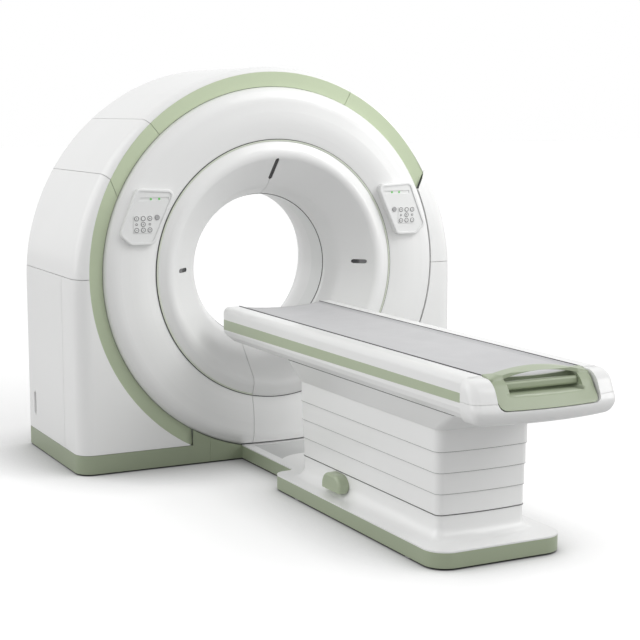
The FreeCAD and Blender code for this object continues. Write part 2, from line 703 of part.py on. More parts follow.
def gantry_plinth():
    wedge_top = BORE_Z - math.sqrt((RING_OUT_R + SEAM) ** 2 - BAND_TIP_X ** 2)
    half = BAND_TIP_X - SEAM / 2
    wedge = box(-half, half, FRONT, FRONT + PLINTH_WALL, PLINTH_TOP - 10, wedge_top)
    whole = plinth_wall().fuse(wedge).cut(rod_y(RING_OUT_R + SEAM, FRONT - OVER, FRONT + PLINTH_WALL + OVER))
    groove_x = BAND_TIP_X - PLINTH_GROOVE
    for x in (-groove_x, groove_x):
        whole = whole.cut(box(x - 1, x + 1, FRONT - 1, FRONT + 1, PLINTH_BOTTOM - 1, wedge_top))
    return one_solid(whole)


# ---- front cover ring, dock panel and funnel ----
def dock_zone(grow):
    half = DOCK_HALF_WIDTH + grow
    return box(-half, half, FRONT - BEYOND, FRONT + FUNNEL_DEPTH + OVER, -10, BORE_Z)


def bridge_notch():
    half = BRIDGE_HALF + BRIDGE_GAP
    return box(-half, half, FRONT - BEYOND, FRONT + BAND_BACK + OVER, -10, DOCK_BOTTOM)


def front_ring():
    return turned_skin(ring_section(), 0.0, RING_SKIN_T)


def funnel_skin(near, far):
    return turned_skin(funnel_section(), -near, -far)


def funnel_with_rim():
    rim = tube_y(MOUTH_R, MOUTH_R - FUNNEL_T, FRONT + FUNNEL_RIM[0], FRONT + FUNNEL_RIM[1])
    return funnel_skin(0.0, FUNNEL_T).fuse(rim)


def front_ring_cover():
    return one_solid(front_ring().cut(dock_zone(SEAM / 2)).cut(bridge_notch()))


def dock_panel():
    ring = front_ring().common(dock_zone(-SEAM / 2)).cut(bridge_notch())
    foot = funnel_with_rim().common(dock_zone(-SEAM / 2))
    web_y = FRONT + FUNNEL_RIM[0] + 2
    web = tube_y(RING_IN_R + 1, MOUTH_R - 1, web_y, web_y + RING_SKIN_T).common(dock_zone(-SEAM / 2))
    return one_solid(ring.fuse([foot, web]))


def slot_prism(low, high, margin, degrees):
    half = SLOT_WIDTH / 2 + margin
    rise = SLOT_SIDE_RISE if degrees != 90 else 0.0
    y0, y1 = FRONT - BEYOND, FRONT + FUNNEL_DEPTH
    x0, x1 = BORE_R + low - margin + half, BORE_R + high + margin - half
    body = box(x0, x1, y0, y1, -half, half)
    body = body.fuse([rod_y(half, y0, y1, x, 0.0) for x in (x0, x1)])
    body = body.rotate(V(0, 0, 0), V(0, 1, 0), -degrees)
    return body.translate(V(0, 0, BORE_Z + rise))


def slot_places():
    return [(SLOT_TOP, 90), (SLOT_SIDE, 0), (SLOT_SIDE, 180)]


def front_funnel():
    funnel = funnel_with_rim().cut(dock_zone(SEAM / 2))
    for (low, high), degrees in slot_places():
        funnel = funnel.cut(slot_prism(low, high, 0.0, degrees))
    half = FUNNEL_JOINT / 2
    low, high = BORE_Z + BORE_R - 2, BORE_Z + BORE_R + SLOT_TOP[0] + OVER
    joint = box(-half, half, FRONT - BEYOND, FRONT + FUNNEL_DEPTH - 10, low, high)
    return one_solid(funnel.cut(joint))


def laser_windows():
    skin = funnel_skin(FUNNEL_T, FUNNEL_T + LASER_WINDOW_T)
    places = [slot_prism(low, high, SLOT_MARGIN, degrees) for (low, high), degrees in slot_places()]
    return Part.makeCompound([skin.common(place) for place in places])


def trim_ring():
    ring = tube_y(MOUTH_R + TRIM_T, MOUTH_R, FRONT + TRIM_DEPTH[0], FRONT + TRIM_DEPTH[1])
    return one_solid(ring.cut(dock_zone(SEAM / 2)))


def scan_window():
    start = FRONT + FUNNEL_DEPTH
    return tube_y(BORE_R + WINDOW_RING_T, BORE_R, start, start + WINDOW_RING_LENGTH)


def rear_funnel():
    skin = turned_skin(rear_section(), -FUNNEL_T, 0.0)
    inside = REAR - COVER_T
    flange_r = REAR_FLANGE_R + REAR_FLANGE_LAP
    flange = tube_y(flange_r, REAR_FLANGE_R - FUNNEL_T, inside - FUNNEL_T, inside)
    return one_solid(skin.fuse(flange).common(rod_y(flange_r, FRONT, inside)))


# ---- control panels ----
def on_panel(x, rise):
    middle = polar(RING_IN_R + PANEL_OUT, PANEL_TURN)
    return middle[0] + x, middle[1] + rise


def panel_face(inset, y):
    places = [on_panel(*corner) for corner in PANEL_CORNERS]
    corners = [V(x, y, z) for x, z in places]
    wire = Part.makePolygon(corners + corners[:1])
    face = Part.Face(wire)
    if inset:
        face = Part.Face(wire.makeOffset2D(-inset))
    return face


def panel_prism(inset, y0, y1, corner_r):
    solid = panel_face(inset, y0).extrude(V(0, y1 - y0, 0))
    lengthwise = [edge for edge in solid.Edges if edge.BoundBox.YLength > abs(y1 - y0) - TINY]
    return solid.makeFillet(corner_r, lengthwise)


def panel_front():
    return FRONT - RING_BULGE - PANEL_PROUD


def ring_backing():
    corners = ring_section()
    first, last = section_point(*corners[0][:2]), section_point(*corners[-1][:2])
    corner = V(first.x, last.y, 0)
    return turned(section_edges(corners) + [Part.makeLine(last, corner), Part.makeLine(corner, first)])


def panel_housing():
    front = panel_front()
    solid = panel_prism(0.0, front, FRONT, PANEL_CORNER_R)
    solid = solid.makeFillet(PANEL_EDGE_R, edges_at_y(solid, front))
    recess = panel_prism(PANEL_RIM, front - 1, front + FASCIA_DEPTH, PANEL_CORNER_R - PANEL_RIM)
    solid = solid.cut(recess).cut(ring_backing())
    floor = front + FASCIA_DEPTH
    x0, low = on_panel(GROOVE_X[0], LIGHT_RISE - GROOVE_HALF_HEIGHT)
    x1, high = on_panel(GROOVE_X[1], LIGHT_RISE + GROOVE_HALF_HEIGHT)
    solid = solid.cut(box(x0, x1, floor - 1, floor + GROOVE_DEPTH, low, high))
    hole = rod_y(STOP_R + STOP_FIT, front, FRONT, *on_panel(*STOP_AT))
    return one_solid(solid.cut(hole))


def keypad():
    floor = panel_front() + FASCIA_DEPTH
    half_x = KEY_STEP_X + KEY_R + KEYPAD_MARGIN
    half_z = KEY_STEP_Z + KEY_R + KEYPAD_MARGIN
    middle_x, z = on_panel(*KEY_AT)
    mat = box(middle_x - half_x, middle_x + half_x, floor - KEYPAD_T, floor, z - half_z, z + half_z)
    upright = [edge for edge in mat.Edges if edge.BoundBox.YLength > KEYPAD_T - TINY]
    mat = mat.makeFillet(KEYPAD_CORNER_R, upright)
    key_back = floor - KEYPAD_T
    for column in (-1, 0, 1):
        for row in (-1, 0, 1):
            radius = SMALL_KEY_R if row == 0 and column != 0 else KEY_R
            x = middle_x + column * KEY_STEP_X
            mat = mat.fuse(rod_y(radius, key_back - KEY_PROUD, key_back, x, z + row * KEY_STEP_Z))
    return one_solid(mat)


def stop_button():
    floor = panel_front() + FASCIA_DEPTH
    cap = rod_y(STOP_R, floor - STOP_PROUD, floor + STOP_STEM, *on_panel(*STOP_AT))
    return cap.makeChamfer(STOP_CHAMFER, edges_at_y(cap, floor - STOP_PROUD))


def status_lights():
    floor = panel_front() + FASCIA_DEPTH + GROOVE_DEPTH
    lights = []
    for x in LIGHT_X:
        lens = rod_y(LIGHT_R, floor - LIGHT_PROUD, floor, *on_panel(x, LIGHT_RISE))
        lights += [lens, mirror_x(lens)]
    return Part.makeCompound(lights)


# ---- gantry structure ----
def gantry_base_frame():
    outer = plinth_prism(PLINTH_WALL, FRAME_BOTTOM, FRAME_TOP)
    front = FRONT + BAND_BACK + FRONT_RING_T
    outer = outer.cut(box(-FAR, FAR, FRONT - BEYOND, front, -BEYOND, 2 * FAR))
    inside = GANTRY_HALF_WIDTH - PLINTH_WALL - FRAME_RAIL
    frame = outer.cut(box(-inside, inside, front + FRAME_RAIL, REAR - FRAME_RAIL, 0.0, FRAME_TOP + OVER))
    y0 = FRONT + STAND_FROM + STAND_T / 2 - FRAME_BEAM / 2
    beam = box(-inside - OVER, inside + OVER, y0, y0 + FRAME_BEAM, FRAME_BOTTOM, FRAME_TOP)
    frame = frame.fuse(beam)
    for x, y in gantry_rail_places(GANTRY_ANCHOR_FROM_END):
        frame = frame.cut(rod_z(ANCHOR_R, FRAME_BOTTOM - OVER, FRAME_TOP + OVER, x, y))
    return one_solid(frame)


def gantry_rail_places(from_end):
    x = GANTRY_HALF_WIDTH - PLINTH_WALL - FRAME_RAIL / 2
    return [(side * x, y) for side in (-1, 1) for y in (FRONT + from_end, REAR - from_end)]


def table_rail_places(from_end):
    x = BASE_HALF - PLINTH_WALL - TABLE_RAIL / 2
    ends = (FRONT - BASE_FRONT + from_end, FRONT - BASE_REAR - from_end)
    return [(side * x, y) for side in (-1, 1) for y in ends]


def foot(x, y, stem_top):
    pad = rod_z(FOOT_R, 0.0, FOOT_PAD, x, y)
    pad = pad.makeChamfer(FOOT_EDGE, edges_at_z(pad, FOOT_PAD))
    return pad.fuse(rod_z(FOOT_STEM_R, FOOT_PAD - 2, stem_top, x, y))


def levelling_feet():
    places = gantry_rail_places(GANTRY_FOOT_FROM_END) + table_rail_places(TABLE_FOOT_FROM_END)
    return Part.makeCompound([foot(x, y, FRAME_BOTTOM) for x, y in places])


def cover_frame():
    front_hoop_y = FRONT + SIDE_SEAM_DEPTH - HOOP_WIDTH / 2
    hoop_end = front_hoop_y + HOOP_WIDTH
    hoop = arch_prism(COVER_T, FRAME_TOP, front_hoop_y, hoop_end)
    hoop = hoop.cut(arch_prism(COVER_T + HOOP_T, FRAME_TOP - OVER, front_hoop_y - 1, hoop_end + 1))
    inner_body = gantry_body(COVER_T, FRAME_TOP)
    rear_slab = box(-FAR, FAR, REAR - 2 * REAR_LAP, REAR, -BEYOND, 2 * FAR)
    rear_hoop = inner_body.cut(arch_prism(COVER_T + 4 * HOOP_T, 0, FRONT, REAR)).common(rear_slab)
    front_ring_y = FRONT + BAND_BACK
    ring = tube_y(FRONT_RING_R[1], FRONT_RING_R[0], front_ring_y, front_ring_y + FRONT_RING_T)
    ring = ring.common(box(-FAR, FAR, FRONT, REAR, FRAME_BOTTOM, 2 * FAR))
    inner_r = MOUTH_R - FUNNEL_T
    inner_y = FRONT + INNER_RING_DEPTH
    inner_ring = tube_y(inner_r + INNER_RING_WIDTH, inner_r, inner_y, inner_y + FRONT_RING_T)
    parts = [rear_hoop, ring, inner_ring] + cover_frame_bars(front_hoop_y)
    lip = tube_y(BAND_OUT_R + LIP_T, BAND_OUT_R, FRONT, FRONT + LIP_DEPTH)
    return one_solid(hoop.fuse(parts).cut(plinth_wall()).cut(lip))


def cover_frame_bars(hoop_y):
    bars = []
    half = SPOKE_WIDTH / 2
    reach, spoke_y = FRONT_RING_R[0] + 2 * OVER, FRONT + INNER_RING_DEPTH
    for count in range(SPOKES):
        degrees = 360.0 / SPOKES * (count + 0.5)
        spoke = box(RING_IN_R, reach, spoke_y, FRONT + BAND_BACK + FRONT_RING_T, -half, half)
        spoke = spoke.rotate(V(0, 0, 0), V(0, 1, 0), -degrees).translate(V(0, 0, BORE_Z))
        bars.append(spoke)
    limit = gantry_body(COVER_T, FRAME_TOP)
    half = ARM_T / 2
    for degrees in ARM_TURNS:
        arm = box(FRONT_RING_R[1] - 5 * OVER, FAR, FRONT + BAND_BACK, hoop_y + HOOP_WIDTH, -half, half)
        arm = arm.rotate(V(0, 0, 0), V(0, 1, 0), -degrees).translate(V(0, 0, BORE_Z))
        bars.append(arm.common(limit))
    for x in (-1, 1):
        outer = GANTRY_HALF_WIDTH - COVER_T - 1
        low, high = sorted((x * outer, x * (outer - 3 * HOOP_T)))
        bar = box(low, high, hoop_y, REAR - REAR_LAP, FRAME_TOP, FRAME_TOP + HOOP_WIDTH)
        bars.append(bar.common(limit))
    return bars


def gantry_stand():
    y0 = FRONT + STAND_FROM
    y1 = y0 + STAND_T
    plate = rod_y(STAND_R[1], y0, y1)
    legs = box(-STAND_FOOT_HALF, STAND_FOOT_HALF, y0, y1, FRAME_TOP, BORE_Z - STAND_R[0])
    plate = plate.fuse(legs)
    cut_below = box(-FAR, FAR, y0 - OVER, y1 + OVER, -FAR, FRAME_TOP)
    plate = plate.cut(cut_below).cut(rod_y(STAND_R[0], y0 - OVER, y1 + OVER))
    for count in range(STAND_HOLES):
        x, z = polar((BEARING_OUT_R + STAND_R[1]) / 2, 360.0 / STAND_HOLES * (count + 0.5))
        plate = plate.cut(rod_y(STAND_HOLE_R, y0 - OVER, y1 + OVER, x, z))
    depth = REAR - FRAME_RAIL / 2 - y1
    for x in (-STAND_FOOT_HALF + STAND_GUSSET_IN, STAND_FOOT_HALF - STAND_GUSSET_IN - STAND_T):
        corners = [(y1 - 2, FRAME_TOP), (y1 + depth, FRAME_TOP), (y1 - 2, BORE_Z - STAND_R[0])]
        plate = plate.fuse(prism_x(corners, x, x + STAND_T))
    return one_solid(plate)


def bearing_outer_race():
    y1 = FRONT + STAND_FROM
    race = tube_y(BEARING_OUT_R, BEARING_R, y1 - BEARING_LENGTH, y1)
    flange = tube_y(BEARING_OUT_R + BEARING_FLANGE, BEARING_R, y1 - BEARING_FLANGE_T, y1)
    return one_solid(race.fuse(flange))


def inner_race_from():
    return FRONT + STAND_FROM - BEARING_LENGTH + INNER_RACE_SET_IN


def bearing_inner_race():
    y0 = inner_race_from()
    return tube_y(BEARING_R - BEARING_FIT, BEARING_IN_R, y0, y0 + INNER_RACE_LENGTH)


# ---- rotor ----
def rotor_drum():
    y0 = FRONT + DRUM_FROM
    y1 = y0 + DRUM_T
    bore = BORE_R + DRUM_IN
    disc = tube_y(DRUM_R, bore, y0, y1)
    rim = tube_y(DRUM_R, DRUM_R - DRUM_RIM_T, y0 - DRUM_RIM_DEPTH, y0 + 1)
    hub = tube_y(BEARING_IN_R, bore, y1 - 1, inner_race_from() + INNER_RACE_LENGTH)
    slip_r, slip_end = BORE_R + SLIP_RING_OUT, y1 + SLIP_RING_DEPTH
    slip = tube_y(slip_r + SLIP_RING_WIDTH, slip_r, y1 - 1, slip_end)
    drum = disc.fuse([rim, hub, slip])
    pitch = SLIP_RING_WIDTH / SLIP_TRACKS
    for count in range(SLIP_TRACKS):
        inner_r = slip_r + (count + 0.25) * pitch
        drum = drum.cut(tube_y(inner_r + pitch / 2, inner_r, slip_end - SLIP_TRACK_DEPTH, slip_end + 1))
    return one_solid(drum)


def xray_tube():
    y1 = FRONT + DRUM_FROM
    y0 = y1 - TUBE_LENGTH
    axis_z = BORE_Z + BORE_R + TUBE_OUT
    housing = rod_y(TUBE_R, y0, y1, 0.0, axis_z)
    housing = housing.makeFillet(TUBE_EDGE_R, edges_at_y(housing, y0))
    scan_y = FRONT + SCAN_DEPTH
    low = BORE_Z + BORE_R + COLLIMATOR_OUT
    half, depth = COLLIMATOR_HALF, COLLIMATOR_DEPTH / 2
    collimator = box(-half, half, scan_y - depth, scan_y + depth, low, axis_z - TUBE_R / 2)
    half, depth = half - COLLIMATOR_WALL, SLIT_DEPTH / 2
    slit = box(-half, half, scan_y - depth, scan_y + depth, low - OVER, low + SLIT_HEIGHT)
    return one_solid(housing.fuse(collimator).cut(slit))


def detector_arc():
    y1 = FRONT + DRUM_FROM
    y0 = y1 - DETECTOR_LENGTH
    focus_z = BORE_Z + FOCUS_R
    ring = tube_y(DETECTOR_REACH + DETECTOR_T, DETECTOR_REACH, y0, y1, 0.0, focus_z)
    reach = 2 * DETECTOR_REACH
    half = reach * math.tan(math.radians(DETECTOR_FAN))
    fan = prism_y([(0, focus_z), (-half, focus_z - reach), (half, focus_z - reach)], y0, y1)
    arc = ring.common(fan)
    low = -DETECTOR_REACH - DETECTOR_T
    half, depth = MODULE_GROOVE[0] / 2, MODULE_GROOVE[1]
    for count in range(1, DETECTOR_MODULES):
        degrees = -DETECTOR_FAN + 2 * DETECTOR_FAN * count / DETECTOR_MODULES
        groove = box(-half, half, y0 - 1, y0 + MODULE_LENGTH, low - OVER, low + depth)
        groove = groove.rotate(V(0, 0, 0), V(0, 1, 0), degrees).translate(V(0, 0, focus_z))
        arc = arc.cut(groove)
    return one_solid(arc)


def hv_generator():
    near, far, z0, z1 = GENERATOR
    y1 = FRONT + DRUM_FROM
    tank = box(-BORE_R - far, -BORE_R - near, y1 - BOX_LENGTH, y1, BORE_Z + z0, BORE_Z + z1)
    lengthwise = [edge for edge in tank.Edges if edge.BoundBox.YLength > TINY]
    return tank.makeFillet(GENERATOR_EDGE_R, lengthwise)


def heat_exchanger():
    near, far, z0, z1 = EXCHANGER
    x0, x1 = BORE_R + near, BORE_R + far
    y1 = FRONT + DRUM_FROM
    y0 = y1 - BOX_LENGTH
    core = box(x0, x1, y0, y1, BORE_Z + z0, BORE_Z + z1)
    pitch = (z1 - z0) / EXCHANGER_FINS
    for count in range(EXCHANGER_FINS):
        z = BORE_Z + z0 + (count + 0.5) * pitch
        fin_x = (x0 + EXCHANGER_RIM, x1 - EXCHANGER_RIM)
        core = core.cut(box(*fin_x, y0 - 1, y0 + EXCHANGER_FIN_DEPTH, z - pitch / 4, z + pitch / 4))
    return one_solid(core)


# ---- table top ----
def channel_cut(y0, y1):
    channel = box(-CHANNEL_HALF, CHANNEL_HALF, y0 - OVER, y1 + OVER, CHANNEL_FLOOR, TABLE_TOP + BEYOND)
    return channel.makeFillet(CHANNEL_CORNER_R, lengthwise_at_z(channel, CHANNEL_FLOOR))


def lengthwise_at_z(solid, z):
    return [edge for edge in edges_at_z(solid, z) if edge.BoundBox.XLength < TINY]


def table_profile(y):
    half = TABLE_HALF_WIDTH
    side = [(half + x, TABLE_UNDER + z) for x, z in TABLE_FLANK]
    side += [(half, STRIPE_BOTTOM - STRIPE_LEDGE), (half, TABLE_TOP - TABLE_EDGE_R)]
    turn = math.radians(45)
    middle_x = half - TABLE_EDGE_R + TABLE_EDGE_R * math.cos(turn)
    middle_z = TABLE_TOP - TABLE_EDGE_R + TABLE_EDGE_R * math.sin(turn)
    right = [V(x, y, z) for x, z in side]
    left = [V(-p.x, p.y, p.z) for p in right]
    top_right = V(half - TABLE_EDGE_R, y, TABLE_TOP)
    top_left = V(-top_right.x, y, TABLE_TOP)
    edges = [Part.makeLine(a, b) for a, b in zip(right[:-1], right[1:])]
    edges.append(Part.Arc(right[-1], V(middle_x, y, middle_z), top_right).toShape())
    edges.append(Part.makeLine(top_right, top_left))
    edges.append(Part.Arc(top_left, V(-middle_x, y, middle_z), left[-1]).toShape())
    edges += [Part.makeLine(b, a) for a, b in reversed(list(zip(left[:-1], left[1:])))]
    edges.append(Part.makeLine(left[0], right[0]))
    return Part.Face(Part.Wire(edges))


def stripe_prism(x0, x1):
    corners = [(TABLE_HEAD, STRIPE_BOTTOM), (TABLE_HEAD, STRIPE_BOTTOM + STRIPE_HEAD)]
    foot_low = STRIPE_BOTTOM + STRIPE_HEAD - STRIPE_FOOT
    corners += [(CAP_FROM, foot_low + STRIPE_FOOT), (CAP_FROM, foot_low)]
    return prism_x(corners, x0, x1)


def table_body():
    body = table_profile(CAP_FROM).extrude(V(0, TABLE_HEAD - CAP_FROM, 0))
    body = body.cut(channel_cut(CAP_FROM, TABLE_HEAD))
    inlay = stripe_prism(TABLE_HALF_WIDTH - STRIPE_INLAY, TABLE_HALF_WIDTH + 10)
    body = body.cut(inlay).cut(mirror_x(inlay))
    beyond, below = TABLE_HEAD + OVER, TABLE_UNDER - OVER
    slope = [(TABLE_HEAD - HEAD_SLOPE, below), (beyond, below), (beyond, TABLE_UNDER + CHANNEL_FLOOR_T)]
    return one_solid(body.cut(prism_x(slope, -FAR, FAR)))


def side_stripes():
    inner = TABLE_HALF_WIDTH - STRIPE_INLAY
    stripe = stripe_prism(inner, inner + STRIPE_T)
    return Part.makeCompound([stripe, mirror_x(stripe)])


def nose_wire(z, side_inset, front_inset, inset):
    half = TABLE_HALF_WIDTH + CAP_PROUD - side_inset - inset
    bow = NOSE_BOW_R - front_inset - inset
    corner = max(NOSE_CORNER_R - side_inset, NOSE_LEAST_CORNER_R)
    back = TABLE_FOOT + NOSE_BOW_R
    across = (half - corner) / (bow - corner)
    along = math.sqrt(1 - across ** 2)
    corner_y = back - along * (bow - corner)
    turn = math.acos(across) / 2
    middle = V(half - corner + corner * math.cos(turn), corner_y - corner * math.sin(turn), z)
    right = [V(half, back, z), V(half, corner_y, z), middle, V(across * bow, back - along * bow, z)]
    left = [V(-p.x, p.y, p.z) for p in right]
    edges = [Part.makeLine(left[0], right[0]), Part.makeLine(right[0], right[1])]
    edges.append(Part.Arc(right[1], right[2], right[3]).toShape())
    edges.append(Part.Arc(right[3], V(0, back - bow, z), left[3]).toShape())
    edges.append(Part.Arc(left[3], left[2], left[1]).toShape())
    edges.append(Part.makeLine(left[1], left[0]))
    return Part.Wire(edges)


def nose(high_levels, inset, rear):
    wires = [nose_wire(TABLE_TOP + z, side, front, inset) for z, side, front in NOSE_LOW + high_levels]
    return Part.makeLoft(wires, True, False).common(box(-FAR, FAR, TABLE_FOOT - OVER, rear, 0, FAR))


def cap_seam():
    z = TABLE_TOP - CAP_SEAM_DOWN
    slab = box(-FAR, FAR, TABLE_FOOT - OVER, CAP_FROM + OVER, z - SEAM / 2, z + SEAM / 2)
    return slab.cut(nose(CAP_HIGH, CAP_SEAM_DEPTH, CAP_FROM + OVER))


def end_cap():
    cap = nose(CAP_HIGH, 0.0, CAP_FROM).cut(cap_seam())
    return one_solid(cap.cut(channel_cut(TABLE_FOOT, CAP_FROM)))


# ---- cradle ----
def closed_below(curve, left, right, bottom):
    low_left, low_right = V(left.x, left.y, bottom), V(right.x, right.y, bottom)
    corners = [left, low_left, low_right, right]
    sides = [Part.makeLine(start, end) for start, end in zip(corners[:-1], corners[1:])]
    return Part.Face(Part.Wire([curve] + sides))


def dished_prism(lift, y0, y1, bottom):
    half = CRADLE_HALF_WIDTH
    edge_z = CRADLE_EDGE + lift
    left, right = V(-half, y0, edge_z), V(half, y0, edge_z)
    dip = Part.Arc(right, V(0, y0, edge_z - CRADLE_DIP), left).toShape()
    return closed_below(dip, left, right, bottom).extrude(V(0, y1 - y0, 0))


def cradle_board():
    board = dished_prism(-PAD_T, HANDLE_REAR, TABLE_HEAD, CRADLE_UNDER)
    low = CHANNEL_FLOOR + SLIDE_GAP
    for x in (-RUNNER_X, RUNNER_X):
        x0, x1 = x - RUNNER_WIDTH / 2, x + RUNNER_WIDTH / 2
        board = board.fuse(box(x0, x1, HANDLE_REAR, TABLE_HEAD, low, CRADLE_UNDER + 1))
    return one_solid(board)


def cradle_pad():
    half = CRADLE_HALF_WIDTH
    y0 = HANDLE_REAR
    rims = [CRADLE_EDGE, CRADLE_EDGE - PAD_T]
    ends = [(V(-half, y0, z), V(0, y0, z - CRADLE_DIP), V(half, y0, z)) for z in rims]
    edges = [Part.Arc(*points).toShape() for points in ends]
    edges += [Part.makeLine(ends[0][side], ends[1][side]) for side in (0, 2)]
    face = Part.Face(Part.Wire(Part.__sortEdges__(edges)))
    return face.extrude(V(0, TABLE_HEAD - y0, 0))


def arch_outline(rise, half, low, y):
    shoulder = CRADLE_EDGE - ARCH_SHOULDER
    left, right = V(-half, y, shoulder), V(half, y, shoulder)
    arch = Part.Arc(right, V(0, y, CRADLE_EDGE + rise), left).toShape()
    return closed_below(arch, left, right, low)


def handle_arch():
    y0 = HANDLE_REAR - ARCH_DEPTH
    arch = arch_outline(HANDLE_RISE, CRADLE_HALF_WIDTH, CRADLE_UNDER, y0).extrude(V(0, ARCH_DEPTH, 0))
    crest = CRADLE_EDGE + HANDLE_RISE
    flat = HANDLE_REAR - ARCH_FLAT
    ramp = [(y0 - 1, crest - ARCH_SLOPE), (flat, crest + 1), (flat, crest + OVER), (y0 - 1, crest + OVER)]
    return arch.cut(prism_x(ramp, -FAR, FAR))


def cradle_handle():
    half = CRADLE_HALF_WIDTH
    limit = box(-half, half, TABLE_FOOT - OVER, HANDLE_REAR, HANDLE_LOW, FAR)
    limit = limit.makeFillet(HANDLE_CORNER_R, lengthwise_at_z(limit, HANDLE_LOW))
    block = nose(HANDLE_HIGH, HANDLE_SETBACK, HANDLE_REAR).common(limit).fuse(handle_arch())
    block = block.cut(grip_pocket()).cut(grip_window())
    pin_y, pin_z = lever_pivot()
    reach = POCKET_HALF + LEVER_PIN_LENGTH + 2
    return one_solid(block.cut(rod_x(LEVER_PIN_R + LEVER_FIT, -reach, reach, pin_y, pin_z)))


def grip_pocket():
    y0, y1 = TABLE_FOOT - OVER, HANDLE_REAR - POCKET_WALL
    half = POCKET_HALF
    under = arch_outline(HANDLE_RISE - GRIP_BAND, half, POCKET_FLOOR, y0).extrude(V(0, y1 - y0, 0))
    return under.fuse(box(-half, half, y0, HANDLE_REAR - ARCH_DEPTH, POCKET_FLOOR, TABLE_TOP + BEYOND))


def grip_window():
    y = HANDLE_REAR - POCKET_WALL - 5
    left, right = V(-WINDOW_HALF, y, CRADLE_EDGE + 1), V(WINDOW_HALF, y, CRADLE_EDGE + 1)
    arch = Part.Arc(right, V(0, y, CRADLE_EDGE + HANDLE_RISE - GRIP_BAND), left).toShape()
    return Part.Face(Part.Wire([arch, Part.makeLine(left, right)])).extrude(V(0, POCKET_WALL + 10, 0))


def lever_pivot():
    rear = HANDLE_REAR - LEVER_SETBACK + LEVER_DEPTH / 2
    return rear - LEVER_PIN_R - LEVER_PIN_COVER, LEVER_TOP - LEVER_HEIGHT / 2


def release_lever():
    y0 = HANDLE_REAR - LEVER_SETBACK - LEVER_DEPTH / 2
    half = POCKET_HALF - LEVER_END_GAP
    bar = box(-half, half, y0, y0 + LEVER_DEPTH, LEVER_TOP - LEVER_HEIGHT, LEVER_TOP)
    bar = bar.makeFillet(LEVER_EDGE_R, [edge for edge in bar.Edges if edge.BoundBox.XLength > half])
    pin_y, pin_z = lever_pivot()
    reach = POCKET_HALF + LEVER_PIN_LENGTH
    return one_solid(bar.fuse(rod_x(LEVER_PIN_R, -reach, reach, pin_y, pin_z)))


# ---- pedestal ----
def pedestal_prism(inset, z0, z1):
    half = PEDESTAL_HALF - inset
    rear = FRONT - PEDESTAL_REAR - inset
    front = FRONT - PEDESTAL_FRONT + inset
    shoulder = front + PEDESTAL_BOW
    bow = Part.Arc(V(-half, shoulder, z0), V(0, front, z0), V(half, shoulder, z0)).toShape()
    corners = [V(half, shoulder, z0), V(half, rear, z0), V(-half, rear, z0), V(-half, shoulder, z0)]
    edges = [bow] + [Part.makeLine(a, b) for a, b in zip(corners[:-1], corners[1:])]
    solid = Part.Face(Part.Wire(edges)).extrude(V(0, 0, z1 - z0))
    return solid.makeFillet(PEDESTAL_CORNER_R - inset, upright_edges(solid, z0 + 1, z1 - 1))


def section_inset(level):
    return SADDLE_T + SECTION_GAP + level * (SECTION_T + SECTION_GAP)


def section(level):
    bottom = SKIRT_TOP + (3 - level) * SECTION_STEP
    top = bottom + SECTION_STEP + SECTION_LAP
    inset = section_inset(level)
    outer = pedestal_prism(inset, bottom, top)
    return one_solid(outer.cut(pedestal_prism(inset + SECTION_T, bottom - 1, top + 1)))


def rounded_wire(half, rear, front, z, radius):
    slab = box(-half, half, front, rear, z, z + 10)
    slab = slab.makeFillet(radius, upright_edges(slab, z + 1, z + 9))
    face = [f for f in slab.Faces if f.BoundBox.ZLength < TINY and abs(f.BoundBox.ZMin - z) < TINY][0]
    return face.OuterWire


def saddle():
    rear, front = FRONT - PEDESTAL_REAR, FRONT - PEDESTAL_FRONT
    bottom = rounded_wire(PEDESTAL_HALF, rear, front, SADDLE_UNDER, PEDESTAL_CORNER_R)
    top_front = front - SADDLE_REACH
    top = rounded_wire(SADDLE_TOP_HALF, rear + SADDLE_TOP_REAR, top_front, TABLE_UNDER, PEDESTAL_CORNER_R)
    outer = Part.makeLoft([bottom, top], True, True)
    hollow = pedestal_prism(SADDLE_T, SADDLE_UNDER - OVER, TABLE_UNDER - SADDLE_TOP_T)
    return one_solid(outer.cut(hollow))


def column_shell(half, bottom, top, capped):
    pieces = []
    rear, front = FRONT - PEDESTAL_REAR, FRONT - PEDESTAL_FRONT
    for y in (rear - COLUMN_FROM_END[0], front + COLUMN_FROM_END[1]):
        outer = box(-half, half, y - half, y + half, bottom, top)
        outer = outer.makeFillet(2 * COLUMN_WALL, upright_edges(outer, bottom + 1, top - 1))
        inner_half = half - COLUMN_WALL
        roof = top - COLUMN_WALL if capped else top + 5
        inner = box(-inner_half, inner_half, y - inner_half, y + inner_half, bottom - OVER, roof)
        inner = inner.makeFillet(COLUMN_WALL, upright_edges(inner, bottom, roof - 1))
        pieces.append(outer.cut(inner))
    return Part.makeCompound(pieces)


def lift_columns():
    stage = COLUMN_WALL + COLUMN_GAP
    fixed_top = TABLE_UNDER - COLUMN_FIXED_DROP
    middle = [TABLE_UNDER - drop for drop in COLUMN_MIDDLE_DROPS]
    low, roof = TABLE_UNDER - COLUMN_INNER_DROP, TABLE_UNDER - SADDLE_TOP_T
    return {
        "lift_column_base": column_shell(COLUMN_HALF, TABLE_FRAME_TOP, fixed_top, False),
        "lift_column_middle": column_shell(COLUMN_HALF - stage, *middle, False),
        "lift_column_top": column_shell(COLUMN_HALF - 2 * stage, low, roof, True),
    }


